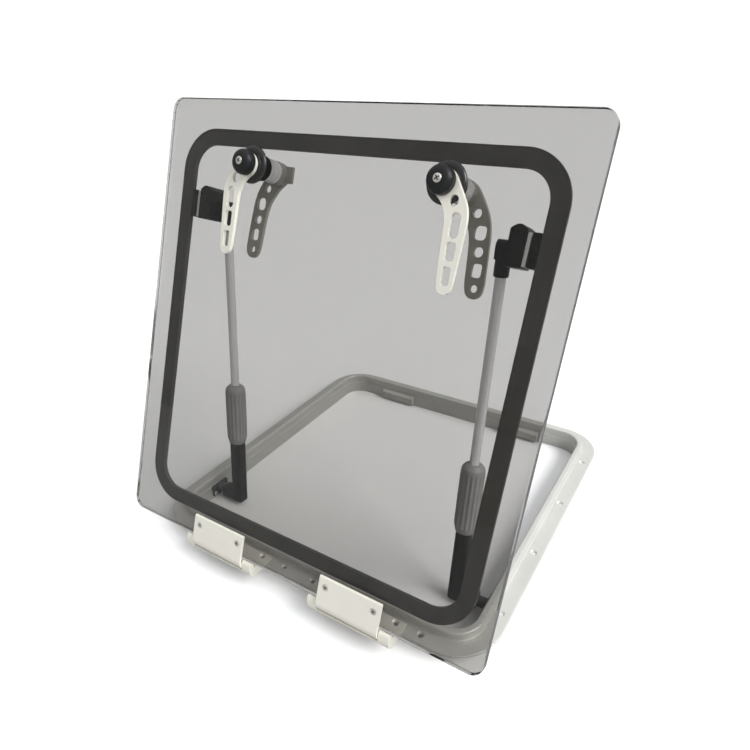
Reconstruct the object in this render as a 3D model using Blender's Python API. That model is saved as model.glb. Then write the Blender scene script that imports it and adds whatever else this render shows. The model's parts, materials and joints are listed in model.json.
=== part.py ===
"""Deck hatch with an acrylic lid, shown held open on two telescopic stays.

Metres, +Z up. X runs along the hinges, Y from the hinge side to the handle side,
and the origin is on the underside of the flange, midway along the hinge side.
The pieces are drawn about the middle of the opening and moved by ORIGIN_SHIFT at the end.
The lid and all that it carries hang from the empty lid_axis, in lid coordinates:
x as in the world, y away from the hinge axis along the lid, z out of its deck face.
"""

import math

import bmesh
import bpy
from mathutils import Matrix, Vector

MM = 0.001

# ---- overall sizes ----
LID_WIDTH = 524 * MM
LID_LENGTH = 537.5 * MM
LID_THICK = 10 * MM
LID_CORNER = 15 * MM
OPEN_ANGLE = math.radians(68.42)

# ---- clearances ----
GAP = 0.3 * MM          # between pieces that rest on one another
RUN_GAP = 0.3 * MM      # round a pin or a shank in its bore
STAY_GAP = 1.0 * MM     # beside the upper pivot of a stay

# ---- base frame ----
FLANGE_SIDE_X = LID_WIDTH - 16 * MM
FLANGE_SIDE_Y = LID_LENGTH - 29.5 * MM
FLANGE_THICK = 3 * MM
FLANGE_WIDTH = 29.3 * MM
RIM_THICK = 9.3 * MM
RIM_HEIGHT = 14.6 * MM
SPIGOT_THICK = 4 * MM
SPIGOT_DEPTH = 20 * MM
INNER_CORNER = 30 * MM
HALF_X = FLANGE_SIDE_X / 2 - FLANGE_WIDTH      # inner wall, sideways
HALF_Y = FLANGE_SIDE_Y / 2 - FLANGE_WIDTH      # inner wall, fore and aft
ORIGIN_SHIFT = FLANGE_SIDE_Y / 2 - (FLANGE_WIDTH - SPIGOT_THICK) / 2
HOLE_INSET = 11.8 * MM
HOLE_RADIUS = 2.6 * MM
HOLE_HEAD_RADIUS = 4.6 * MM

# ---- hinge axis ----
AXIS_Y = -FLANGE_SIDE_Y / 2 - 20 * MM
AXIS_Z = 20.9 * MM
EDGE_FROM_AXIS = 6.3 * MM                      # lid edge, along the lid
UNDERSIDE_FROM_AXIS = 0.5 * MM                 # lid underside, across the lid
DECK_FACE = UNDERSIDE_FROM_AXIS + LID_THICK    # lid outer face, across the lid

# ---- hinges ----
HINGE_X = 100.8 * MM
LEAF_WIDTH = 83.2 * MM
LEAF_THICK = 3 * MM
LEAF_REACH = 30.4 * MM
LEAF_CURL_RADIUS = 12.3 * MM
LEAF_CURL_END = math.radians(152)
BARREL_RADIUS = 5.4 * MM
HINGE_PIN_RADIUS = 2.6 * MM
HINGE_BASE_WIDTH = 112 * MM
LEAF_SCREW_X = 32.4 * MM
LEAF_SCREW_FROM_EDGE = 18 * MM
HINGE_HOLE_X = 44 * MM

# ---- ring under the lid ----
RING_BAND = 18 * MM
RING_THICK = 6.2 * MM
RING_OUTSIDE_RIM = 3.5 * MM

# ---- handles ----
HANDLE_FROM_SIDE = 140.5 * MM
HANDLE_FROM_FREE_EDGE = 70.5 * MM
HANDLE_X = LID_WIDTH / 2 - HANDLE_FROM_SIDE
HANDLE_Y = EDGE_FROM_AXIS + LID_LENGTH - HANDLE_FROM_FREE_EDGE
SPINDLE_RADIUS = 6 * MM
KNOB_RADIUS = 13.6 * MM
DISC_RADIUS = 20.5 * MM
DISC_THICK = 4.3 * MM
LEVER_THICK = 4.5 * MM
LEVER_SLOPE = 0.02
WASHER_DEPTH = 10.4 * MM
BUSH_DEPTH = 18.7 * MM
HUB_DEPTH = 12 * MM
TONGUE_REACH = 22 * MM
TONGUE_WIDTH = 19 * MM
TONGUE_THICK = 3.8 * MM

# ---- stays ----
STAY_FROM_SIDE = 81.5 * MM
STAY_X = LID_WIDTH / 2 - STAY_FROM_SIDE
STAY_FOOT_Y = AXIS_Y + 116.6 * MM
STAY_FOOT_Z = -5.4 * MM
STAY_LENGTH = 418.6 * MM
STAY_TILT = math.radians(8.2)
TUBE_RADIUS = 5.5 * MM
TUBE_BOTTOM = 138 * MM
TUBE_TOP = 401 * MM
SLEEVE_BOTTOM = 91.3 * MM
SLEEVE_LENGTH = 90 * MM
SLEEVE_RADIUS = 14 * MM
RIB_DEPTH = 1.0 * MM
RIB_COUNT = 16
FITTING_HALF = 8.8 * MM
FITTING_BOTTOM = -8 * MM
END_FITTING_RADIUS = 7.6 * MM
STAY_PIN_RADIUS = 3 * MM
BRACKET_FACE_X = STAY_X + END_FITTING_RADIUS + STAY_GAP
BRACKET_DEPTH = 29.7 * MM
BRACKET_LENGTH = 39 * MM

ROUND = 24
SMALL_ROUND = 14


# ------------------------------------------------------------------ materials

def material(name, colour, roughness, metallic=0.0, alpha=1.0):
    made = bpy.data.materials.new(name)
    made.use_nodes = True
    shader = made.node_tree.nodes["Principled BSDF"]
    shader.inputs["Base Color"].default_value = (*colour, 1.0)
    shader.inputs["Roughness"].default_value = roughness
    shader.inputs["Metallic"].default_value = metallic
    shader.inputs["Alpha"].default_value = alpha
    made.diffuse_color = (*colour, alpha)
    return made


# ------------------------------------------------------------ shape builders

def new_object(name, bm, surface=None):
    bmesh.ops.recalc_face_normals(bm, faces=bm.faces)
    mesh = bpy.data.meshes.new(name)
    bm.to_mesh(mesh)
    bm.free()
    obj = bpy.data.objects.new(name, mesh)
    bpy.context.scene.collection.objects.link(obj)
    if surface is not None:
        mesh.materials.append(surface)
    return obj


def bake(obj):
    """Replaces the mesh by its evaluated form, modifiers applied."""
    graph = bpy.context.evaluated_depsgraph_get()
    graph.update()
    mesh = bpy.data.meshes.new_from_object(obj.evaluated_get(graph))
    old = obj.data
    obj.modifiers.clear()
    obj.data = mesh
    bpy.data.meshes.remove(old)
    mesh.name = obj.name


def boolean(obj, other, operation):
    change = obj.modifiers.new(operation.lower(), "BOOLEAN")
    change.operation = operation
    change.solver = "EXACT"
    change.object = other
    bpy.context.view_layer.update()
    bake(obj)
    bpy.data.objects.remove(other)


def cut(obj, *cutters):
    for cutter in cutters:
        boolean(obj, cutter, "DIFFERENCE")


def join(obj, *others):
    for other in others:
        boolean(obj, other, "UNION")


def bevel(obj, width, segments=2, limit=40):
    change = obj.modifiers.new("bevel", "BEVEL")
    change.width = width
    change.segments = segments
    change.limit_method = "ANGLE"
    change.angle_limit = math.radians(limit)
    change.use_clamp_overlap = True
    bpy.context.view_layer.update()
    bake(obj)


def smooth(obj, angle=35):
    obj.data.shade_smooth()
    obj.data.set_sharp_from_angle(angle=math.radians(angle))


def prism(name, outline, low, high, surface=None):
    """The outline, as (x, y) points, extruded from low to high along z."""
    bm = bmesh.new()
    bottom = [bm.verts.new((x, y, low)) for x, y in outline]
    top = [bm.verts.new((x, y, high)) for x, y in outline]
    bm.faces.new(bottom)
    bm.faces.new(top)
    for i in range(len(outline)):
        j = (i + 1) % len(outline)
        bm.faces.new((bottom[i], bottom[j], top[j], top[i]))
    return new_object(name, bm, surface)


def across(name, outline, low, high, surface=None):
    """The outline, as (y, z) points, extruded from low to high along x."""
    obj = prism(name, outline, low, high, surface)
    turn = Matrix(((0, 0, 1, 0), (1, 0, 0, 0), (0, 1, 0, 0), (0, 0, 0, 1)))
    obj.data.transform(turn)
    return obj


def turned(name, profile, steps=ROUND, surface=None):
    """The closed profile, as (radius, z) points, turned about z."""
    bm = bmesh.new()
    rings = []
    for radius, z in profile:
        if radius == 0:
            rings.append([bm.verts.new((0, 0, z))])
            continue
        ring = []
        for i in range(steps):
            angle = 2 * math.pi * (i + 0.37) / steps
            ring.append(bm.verts.new((radius * math.cos(angle), radius * math.sin(angle), z)))
        rings.append(ring)
    for a, b in zip(rings, rings[1:] + rings[:1]):
        if len(a) == 1 and len(b) == 1:
            continue
        for i in range(steps):
            j = (i + 1) % steps
            corners = [a[i % len(a)], a[j % len(a)], b[j % len(b)], b[i % len(b)]]
            unique = list(dict.fromkeys(corners))
            bm.faces.new(unique)
    return new_object(name, bm, surface)


def cylinder(name, radius, low, high, steps=ROUND, surface=None):
    return turned(name, [(0, low), (radius, low), (radius, high), (0, high)], steps, surface)


def rounded_pin(name, radius, low, high, chamfer, steps=SMALL_ROUND, surface=None):
    profile = [
        (0, low),
        (radius - chamfer, low),
        (radius, low + chamfer),
        (radius, high - chamfer),
        (radius - chamfer, high),
        (0, high),
    ]
    return turned(name, profile, steps, surface)


def box(name, low, high, surface=None):
    outline = [(low[0], low[1]), (high[0], low[1]), (high[0], high[1]), (low[0], high[1])]
    return prism(name, outline, low[2], high[2], surface)


def rounded_rectangle(half_x, half_y, radius, steps=8, centre=(0, 0)):
    points = []
    for quarter, (sx, sy) in enumerate(((1, 1), (-1, 1), (-1, -1), (1, -1))):
        for i in range(steps + 1):
            angle = math.pi / 2 * (quarter + i / steps)
            x = sx * (half_x - radius) + radius * math.cos(angle)
            y = sy * (half_y - radius) + radius * math.sin(angle)
            points.append((centre[0] + x, centre[1] + y))
    return points


def swept_ring(name, profile, half_x, half_y, corner, steps, surface):
    """A closed (outward offset, z) profile carried round a rounded rectangle."""
    bm = bmesh.new()
    loops = []
    for offset, z in profile:
        path = rounded_rectangle(half_x + offset, half_y + offset, corner + offset, steps)
        loops.append([bm.verts.new((x, y, z)) for x, y in path])
    count = len(loops[0])
    for a, b in zip(loops, loops[1:] + loops[:1]):
        for i in range(count):
            j = (i + 1) % count
            bm.faces.new((a[i], a[j], b[j], b[i]))
    return new_object(name, bm, surface)


def softened(points, rounds=1):
    """The closed outline with its corners cut."""
    for _ in range(rounds):
        cutting = []
        for (ax, ay), (bx, by) in zip(points, points[1:] + points[:1]):
            cutting.append((0.75 * ax + 0.25 * bx, 0.75 * ay + 0.25 * by))
            cutting.append((0.25 * ax + 0.75 * bx, 0.25 * ay + 0.75 * by))
        points = cutting
    return points


def arc(centre, radius, start, end, steps):
    """Points on an arc, angles in radians."""
    points = []
    for i in range(steps + 1):
        angle = start + (end - start) * i / steps
        points.append((centre[0] + radius * math.cos(angle), centre[1] + radius * math.sin(angle)))
    return points


def moved(obj, offset):
    obj.data.transform(Matrix.Translation(offset))
    return obj


def aimed(obj, direction, offset=(0, 0, 0)):
    """Turns a piece built along z to lie along the direction, then moves it."""
    turn = Vector((0, 0, 1)).rotation_difference(Vector(direction)).to_matrix().to_4x4()
    obj.data.transform(Matrix.Translation(offset) @ turn)
    return obj


def mirrored_x(points):
    return [(-x, y) for x, y in points]


def empty(name, location, parent=None, turn=0.0):
    made = bpy.data.objects.new(name, None)
    bpy.context.scene.collection.objects.link(made)
    made.location = location
    made.rotation_euler = (turn, 0, 0)
    made.parent = parent
    return made


def hang(obj, parent):
    obj.parent = parent
    return obj


def cross_cutter(name, top, reach, width, depth):
    """A plus-shaped recess for a driver, cut down from top."""
    r, w = reach, width / 2
    outline = [
        (r, -w), (r, w), (w, w), (w, r), (-w, r), (-w, w),
        (-r, w), (-r, -w), (-w, -w), (-w, -r), (w, -r), (w, -w),
    ]
    return prism(name, outline, top - depth, top + depth)


def countersunk_screw(name, head, shank, length, surface):
    """A screw whose flat head top is at z = 0 and whose shank runs down."""
    cone = head - shank
    profile = [
        (0, -length),
        (shank * 0.6, -length),
        (shank, -length + shank * 0.8),
        (shank, -cone),
        (head, -0.3 * MM),
        (head, 0),
        (0, 0),
    ]
    obj = turned(name, profile, SMALL_ROUND, surface)
    cut(obj, cross_cutter("drive", 0, head * 0.55, head * 0.22, 1.1 * MM))
    smooth(obj)
    return obj


def countersink(name, head, shank, top, bottom, steps=SMALL_ROUND):
    """A cutter for a countersunk hole whose mouth is at top."""
    cone = head - shank
    over = 1 * MM
    profile = [
        (0, bottom - over),
        (shank, bottom - over),
        (shank, top - cone),
        (head, top),
        (head, top + over),
        (0, top + over),
    ]
    return turned(name, profile, steps)


# ------------------------------------------------------------------ the pieces

def build_base_frame(surface):
    wall = RIM_THICK
    edge = FLANGE_WIDTH
    soft = 0.9 * MM
    step = 1.0 * MM
    profile = [
        (0, -SPIGOT_DEPTH),
        (SPIGOT_THICK, -SPIGOT_DEPTH),
        (SPIGOT_THICK, 0),
        (edge - 0.4 * MM, 0),
        (edge, 0.6 * MM),
        (edge, FLANGE_THICK - soft),
        (edge - 0.35 * MM, FLANGE_THICK - 0.25 * MM),
        (edge - soft - 0.2 * MM, FLANGE_THICK),
        (wall + 1.6 * MM, FLANGE_THICK),
        (wall + 0.5 * MM, FLANGE_THICK + 0.5 * MM),
        (wall, FLANGE_THICK + 1.6 * MM),
        (wall, RIM_HEIGHT - 3.0 * MM),
        (wall - 0.8 * MM, RIM_HEIGHT - 1.1 * MM),
        (wall - 2.6 * MM, RIM_HEIGHT),
        (2.6 * MM, RIM_HEIGHT),
        (0.8 * MM, RIM_HEIGHT - 1.1 * MM),
        (0, RIM_HEIGHT - 3.0 * MM),
        (0, FLANGE_THICK + 0.8 * MM),
        (step, FLANGE_THICK + 0.2 * MM),
        (step, FLANGE_THICK - 1.6 * MM),
        (0, FLANGE_THICK - 2.2 * MM),
    ]
    frame = swept_ring("base_frame", profile, HALF_X, HALF_Y, INNER_CORNER, 9, surface)
    row_x = FLANGE_SIDE_X / 2 - HOLE_INSET
    row_y = FLANGE_SIDE_Y / 2 - HOLE_INSET
    side_near = FLANGE_SIDE_Y * 0.1115
    side_far = FLANGE_SIDE_Y * 0.3346
    end_near = FLANGE_SIDE_X * 0.1115
    end_far = FLANGE_SIDE_X * 0.3346
    spots = []
    for side in (-1, 1):
        for y in (-side_far, -side_near, side_near, side_far):
            spots.append((side * row_x, y))
        for x in (end_near, end_far):
            spots.append((side * x, row_y))
        spots.append((side * 22.8 * MM, -row_y))
        spots.append((side * (HINGE_X + HINGE_BASE_WIDTH / 2 + 19 * MM), -row_y))
    for x, y in spots:
        hole = countersink("hole", HOLE_HEAD_RADIUS, HOLE_RADIUS, FLANGE_THICK, 0)
        cut(frame, moved(hole, (x, y, 0)))
    for side in (-1, 1):
        for x in (HINGE_X - HINGE_HOLE_X, HINGE_X + HINGE_HOLE_X):
            hole = cylinder("hole", HOLE_RADIUS, -1 * MM, FLANGE_THICK + 1 * MM, SMALL_ROUND)
            cut(frame, moved(hole, (side * x, hinge_hole_y(), 0)))
    smooth(frame, 40)
    return frame


def hinge_hole_y():
    return -FLANGE_SIDE_Y / 2 + 9 * MM


def build_lid_panel(surface, parent):
    outline = rounded_rectangle(
        LID_WIDTH / 2, LID_LENGTH / 2, LID_CORNER, 8, (0, EDGE_FROM_AXIS + LID_LENGTH / 2)
    )
    panel = prism("lid_panel", outline, UNDERSIDE_FROM_AXIS, DECK_FACE, surface)
    bevel(panel, 0.9 * MM, 1, 50)
    for side in (-1, 1):
        bore = cylinder("bore", SPINDLE_RADIUS + 2 * RUN_GAP, -5 * MM, DECK_FACE + 5 * MM)
        cut(panel, moved(bore, (side * HANDLE_X, HANDLE_Y, 0)))
        for offset in (-LEAF_SCREW_X, LEAF_SCREW_X):
            bore = cylinder("bore", 2.4 * MM, -5 * MM, DECK_FACE + 5 * MM, SMALL_ROUND)
            at = (side * HINGE_X + offset, EDGE_FROM_AXIS + LEAF_SCREW_FROM_EDGE, 0)
            cut(panel, moved(bore, at))
    smooth(panel, 40)
    return hang(panel, parent)


def build_lid_ring(surface, parent):
    """The black ring follows the rim of the base frame, seen with the lid shut."""
    reach_y = HALF_Y + RIM_THICK + RING_OUTSIDE_RIM
    reach_x = HALF_X + RIM_THICK + RING_OUTSIDE_RIM
    outer = 0
    inner = -RING_BAND
    top = UNDERSIDE_FROM_AXIS - GAP
    bottom = top - RING_THICK
    profile = [
        (inner, top),
        (inner, bottom + 1.6 * MM),
        (inner + 0.5 * MM, bottom + 0.5 * MM),
        (inner + 1.6 * MM, bottom),
        (outer - 1.6 * MM, bottom),
        (outer - 0.5 * MM, bottom + 0.5 * MM),
        (outer, bottom + 1.6 * MM),
        (outer, top),
    ]
    ring = swept_ring("lid_ring", profile, reach_x, reach_y, 48 * MM, 9, surface)
    moved(ring, (0, -AXIS_Y, 0))
    smooth(ring, 40)
    return hang(ring, parent)


def leaf_outline():
    """Section of a leaf: flat on the lid, rolled over its edge, with the barrel inside."""
    centre = (2.3 * MM, DECK_FACE + GAP + LEAF_THICK - LEAF_CURL_RADIUS)
    outer = LEAF_CURL_RADIUS
    inner = LEAF_CURL_RADIUS - LEAF_THICK
    top = DECK_FACE + GAP + LEAF_THICK
    reach = EDGE_FROM_AXIS + LEAF_REACH
    quarter = math.pi / 2
    web = 2.2 * MM
    points = [
        (reach, DECK_FACE + GAP),
        (reach, top - 1.3 * MM),
        (reach - 1.3 * MM, top),
    ]
    points += arc(centre, outer, quarter, LEAF_CURL_END, 10)
    points += arc(centre, inner, LEAF_CURL_END, LEAF_CURL_END - 0.02, 1)
    tip = math.atan2(points[-1][1], points[-1][0])
    spread = math.asin(web / BARREL_RADIUS / 2)
    points += arc((0, 0), BARREL_RADIUS, tip + spread, tip - spread + 2 * math.pi, 16)
    points += arc(centre, inner, LEAF_CURL_END - 0.32, quarter, 8)
    return points


def build_leaf(name, side, surface, parent):
    half = LEAF_WIDTH / 2
    leaf = across(name, leaf_outline(), -half, half, surface)
    bore = cylinder("bore", HINGE_PIN_RADIUS + RUN_GAP, -half - 5 * MM, half + 5 * MM)
    cut(leaf, aimed(bore, (1, 0, 0)))
    for offset in (-LEAF_SCREW_X, LEAF_SCREW_X):
        top = DECK_FACE + GAP + LEAF_THICK
        hole = countersink("hole", 4.35 * MM, 2.4 * MM, top, DECK_FACE)
        cut(leaf, moved(hole, (offset, EDGE_FROM_AXIS + LEAF_SCREW_FROM_EDGE, 0)))
    smooth(leaf, 30)
    leaf.location = (side * HINGE_X, 0, 0)
    return hang(leaf, parent)


def knuckle_outline():
    """Section of a hinge base about the hinge axis, from its foot round the nose."""
    foot = FLANGE_THICK + GAP - AXIS_Z
    plate_top = foot + LEAF_THICK
    plate_end = 34.6 * MM
    clear = 6.2 * MM
    points = [
        (plate_end, foot),
        (plate_end, plate_top - 0.8 * MM),
        (plate_end - 0.8 * MM, plate_top),
        (10.6 * MM, plate_top),
        (6.6 * MM, -1.5 * MM),
    ]
    points += arc((0, 0), clear, math.radians(5), math.radians(126), 10)
    points += [
        (-5.3 * MM, 7.2 * MM),
        (-6.6 * MM, 7.0 * MM),
        (-8.9 * MM, 4.4 * MM),
        (-10.2 * MM, 0.6 * MM),
        (-11.0 * MM, -4.2 * MM),
        (-10.9 * MM, -8.2 * MM),
        (-9.4 * MM, -12.2 * MM),
        (-6.4 * MM, -15.2 * MM),
        (-2.6 * MM, -16.9 * MM),
        (1.4 * MM, foot),
    ]
    return points


def build_hinge_base(name, side, surface):
    half = HINGE_BASE_WIDTH / 2
    base = across(name, knuckle_outline(), -half, half, surface)
    leaf_room = LEAF_WIDTH / 2 + 0.5 * MM
    lip = -6.9 * MM
    room = arc((0, 0), 11.9 * MM, math.radians(214), math.radians(250), 5)
    room = [(-20 * MM, lip)] + [(-9.3 * MM, lip)] + room[1:]
    room += [(8.6 * MM, room[-1][1]), (9.6 * MM, -14 * MM), (14 * MM, 14 * MM), (-20 * MM, 14 * MM)]
    cut(base, across("room", room, -leaf_room, leaf_room))
    bore = cylinder("bore", HINGE_PIN_RADIUS + RUN_GAP, -half - 5 * MM, half + 5 * MM)
    cut(base, aimed(bore, (1, 0, 0)))
    slot = box("slot", (-half - 5 * MM, -0.8 * MM, 0), (half + 5 * MM, 0.8 * MM, 14 * MM))
    slot.data.transform(Matrix.Rotation(math.radians(34), 4, "X"))
    cut(base, slot)
    for offset in (-HINGE_HOLE_X, HINGE_HOLE_X):
        foot = FLANGE_THICK + GAP - AXIS_Z
        hole = countersink("hole", HOLE_HEAD_RADIUS, HOLE_RADIUS, foot + LEAF_THICK, foot)
        cut(base, moved(hole, (offset, hinge_hole_y() - AXIS_Y, 0)))
    smooth(base, 30)
    base.location = (side * HINGE_X, AXIS_Y, AXIS_Z)
    return base


def build_hinge_pin(name, side, surface):
    half = HINGE_BASE_WIDTH / 2 - 0.5 * MM
    pin = aimed(rounded_pin(name, HINGE_PIN_RADIUS, -half, half, 0.5 * MM), (1, 0, 0))
    pin.data.materials.append(surface)
    smooth(pin)
    pin.location = (side * HINGE_X, AXIS_Y, AXIS_Z)
    return pin


def lever_holes(spots):
    """Cutters for the holes along a lever: (x, y, half width, half length, corner)."""
    cutters = []
    for x, y, half_x, half_y, corner in spots:
        outline = rounded_rectangle(half_x, half_y, corner, 4, (x, y))
        cutters.append(prism("hole", outline, -60 * MM, 60 * MM))
    return cutters


def lever_shape(name, outline, holes, low, high, slope, side, surface):
    points = [(side * x * MM, y * MM) for x, y in outline]
    lever = prism(name, points, low, high, surface)
    bevel(lever, 0.9 * MM, 1, 50)
    spots = []
    for x, y, half_x, half_y, corner in holes:
        spots.append((side * x * MM, y * MM, half_x * MM, half_y * MM, corner * MM))
    cut(lever, *lever_holes(spots))
    bore = cylinder("bore", SPINDLE_RADIUS + RUN_GAP, -80 * MM, 80 * MM)
    cut(lever, bore)
    lean = Matrix.Identity(4)
    lean[2][1] = slope
    lever.data.transform(lean)
    smooth(lever, 35)
    return lever


# Lever outlines in millimetres from the handle axis: x outboard, y towards the free edge.
OUTER_LEVER = [
    (-9, 9), (0, 13), (9, 10.5), (14, 4), (21, -7), (28.5, -19), (31.2, -31), (30.8, -46),
    (30, -62), (29, -80), (28.6, -92), (27, -99.5), (20.4, -102.6), (13.6, -99.5),
    (11.8, -92), (11, -80), (10, -62), (9.4, -46), (8.6, -34), (5.4, -24), (-1, -15.5),
    (-9.5, -10), (-13, 0),
]
OUTER_HOLES = [
    (14.6, -16.2, 4.6, 5.4, 4.4),
    (19.9, -38, 5.2, 12, 5.1),
    (20.2, -61.7, 5.1, 8.8, 3.4),
    (20.4, -84.6, 4.3, 9, 2.6),
]
INNER_LEVER = [
    (-9, 9.5), (0, 13.5), (9, 11), (15, 4), (24, -9), (31, -22), (34.4, -36), (36, -55),
    (37.6, -75), (38.8, -90), (36.5, -99), (28.6, -103), (20.5, -99.5), (17.4, -90),
    (16, -75), (14.4, -55), (11.6, -38), (5.5, -26), (-2, -15.5), (-9.5, -10), (-13, 0),
]
INNER_HOLES = [
    (16.1, -17.5, 4.7, 4.7, 4.6),
    (23.4, -36, 6.5, 7.2, 4.5),
    (25.3, -54.8, 5.2, 5.2, 5.1),
    (27.4, -73.2, 5.5, 7, 3.2),
    (28.2, -91.4, 4, 4, 3.9),
]


def build_handle(word, side, paints, parent):
    """One handle with its spindle. Local z = 0 is the deck face of the lid."""
    axis = empty("handle_" + word, (side * HANDLE_X, HANDLE_Y, DECK_FACE), parent)
    bore = SPINDLE_RADIUS + RUN_GAP
    disc_top = GAP + DISC_THICK
    disc = turned(
        "handle_disc_" + word,
        [
            (bore, GAP), (DISC_RADIUS, GAP), (DISC_RADIUS, 2.4 * MM),
            (DISC_RADIUS - 0.9 * MM, 3.6 * MM), (DISC_RADIUS - 3 * MM, disc_top),
            (bore, disc_top),
        ],
        32,
        paints["black"],
    )
    lever_low = disc_top + 1.0 * MM
    lever_high = lever_low + LEVER_THICK
    outer = lever_shape(
        "handle_lever_" + word, softened(OUTER_LEVER), OUTER_HOLES,
        lever_low, lever_high, LEVER_SLOPE, side, paints["cream"],
    )
    knob_low = lever_high + 0.6 * MM
    knob_high = knob_low + 13.3 * MM
    seat = knob_high - 2.0 * MM
    knob_profile = [
        (0, knob_low), (KNOB_RADIUS - 0.8 * MM, knob_low), (KNOB_RADIUS, knob_low + 0.9 * MM),
        (KNOB_RADIUS, knob_low + 6.4 * MM), (KNOB_RADIUS - 0.5 * MM, knob_low + 8.6 * MM),
        (KNOB_RADIUS - 1.8 * MM, knob_low + 10.8 * MM), (KNOB_RADIUS - 4.2 * MM, knob_high - 0.8 * MM),
        (KNOB_RADIUS - 7.2 * MM, knob_high), (4.6 * MM, knob_high), (4.6 * MM, seat),
        (2.5 * MM, seat), (2.5 * MM, knob_low + 3 * MM), (0, knob_low + 3 * MM),
    ]
    knob = turned("knob_" + word, knob_profile, 26, paints["knob"])
    screw = turned(
        "knob_screw_" + word,
        [
            (0, knob_low + 4 * MM), (2.2 * MM, knob_low + 4 * MM), (2.2 * MM, seat + GAP),
            (4.3 * MM, seat + GAP), (4.3 * MM, knob_high), (3.6 * MM, knob_high + 0.5 * MM),
            (0, knob_high + 0.8 * MM),
        ],
        24,
        paints["steel"],
    )
    cut(screw, cross_cutter("drive", knob_high + 0.8 * MM, 2.4 * MM, 0.9 * MM, 1.5 * MM))
    washer_top = -LID_THICK - GAP
    washer_low = washer_top - WASHER_DEPTH
    washer = turned(
        "handle_washer_" + word,
        [
            (bore, washer_low), (13.2 * MM, washer_low), (14 * MM, washer_low + 0.8 * MM),
            (14 * MM, washer_low + 4.4 * MM), (13.1 * MM, washer_low + 5 * MM),
            (14 * MM, washer_low + 5.6 * MM), (14 * MM, washer_top - 0.8 * MM),
            (13.2 * MM, washer_top), (bore, washer_top),
        ],
        28,
        paints["black"],
    )
    bush_top = washer_low - GAP
    bush_low = bush_top - BUSH_DEPTH
    third = BUSH_DEPTH / 3
    bush = turned(
        "handle_bush_" + word,
        [
            (bore, bush_low), (12.2 * MM, bush_low), (13 * MM, bush_low + 0.8 * MM),
            (13 * MM, bush_low + third), (12.1 * MM, bush_low + third + 0.6 * MM),
            (13 * MM, bush_low + third + 1.2 * MM), (13 * MM, bush_low + 2 * third),
            (12.1 * MM, bush_low + 2 * third + 0.6 * MM), (13 * MM, bush_low + 2 * third + 1.2 * MM),
            (13 * MM, bush_top - 0.8 * MM), (12.2 * MM, bush_top), (bore, bush_top),
        ],
        28,
        paints["silver"],
    )
    hub_top = bush_low - GAP
    hub_low = hub_top - HUB_DEPTH
    hub = turned(
        "handle_hub_" + word,
        [
            (0, hub_low), (13 * MM, hub_low), (13.5 * MM, hub_low + 0.5 * MM),
            (13.5 * MM, hub_top - 0.6 * MM), (12.9 * MM, hub_top), (0, hub_top),
        ],
        24,
        paints["grey"],
    )
    inboard = sorted((0, -side * TONGUE_REACH))
    tongue = box(
        "tongue",
        (inboard[0], -TONGUE_WIDTH / 2, hub_low),
        (inboard[1], TONGUE_WIDTH / 2, hub_low + TONGUE_THICK),
    )
    bevel(tongue, 0.8 * MM, 1)
    join(hub, tongue)
    cut(hub, cylinder("bore", bore, hub_low - 5 * MM, hub_top + 5 * MM))
    inner_high = hub_low - GAP
    inner_low = inner_high - 4.6 * MM
    inner = lever_shape(
        "inner_lever_" + word, softened(INNER_LEVER), INNER_HOLES,
        inner_low, inner_high, 0.0, side, paints["inner"],
    )
    spindle = rounded_pin(
        "spindle_" + word, SPINDLE_RADIUS, inner_low - 0.8 * MM, knob_low - GAP, 0.8 * MM, 28,
        paints["silver"],
    )
    for piece in (disc, knob, screw, washer, bush, hub, spindle):
        smooth(piece)
    for piece in (disc, outer, knob, screw, washer, bush, hub, inner, spindle):
        hang(piece, axis)
    return axis


def build_keeper(word, side, surface, screw_surface):
    """The catch block on the far wall that the tongue turns under."""
    top = -0.4 * MM
    bottom = -16.4 * MM
    wall = HALF_Y - GAP
    profile = [
        (wall, top), (wall - 4.4 * MM, top), (wall - 7.6 * MM, top - 3.4 * MM),
        (wall - 7.6 * MM, bottom + 0.8 * MM), (wall - 6.8 * MM, bottom), (wall, bottom),
    ]
    half = 33 * MM
    keeper = across("keeper_" + word, profile, -half, half, surface)
    height = -9.9 * MM
    for offset in (-24 * MM, 24 * MM):
        hole = countersink("hole", 4.35 * MM, 2.4 * MM, 0, -12 * MM)
        cut(keeper, aimed(hole, (0, -1, 0), (offset, wall - 7.6 * MM, height)))
    smooth(keeper, 30)
    keeper.location = (side * HANDLE_X, 0, 0)
    for number, offset in enumerate((-24 * MM, 24 * MM), 1):
        screw = countersunk_screw(
            f"keeper_screw_{word}_{number}", 4 * MM, 2 * MM, 7.2 * MM, screw_surface
        )
        at = (offset, wall - 7.6 * MM - 0.05 * MM, height)
        aimed(screw, (0, -1, 0), at)
        screw.location = (side * HANDLE_X, 0, 0)


def upper_pivot():
    """Upper pivot of a stay, in lid coordinates."""
    y = STAY_FOOT_Y + STAY_LENGTH * math.sin(STAY_TILT) - AXIS_Y
    z = STAY_FOOT_Z + STAY_LENGTH * math.cos(STAY_TILT) - AXIS_Z
    cosine, sine = math.cos(OPEN_ANGLE), math.sin(OPEN_ANGLE)
    return y * cosine + z * sine, -y * sine + z * cosine


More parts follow.
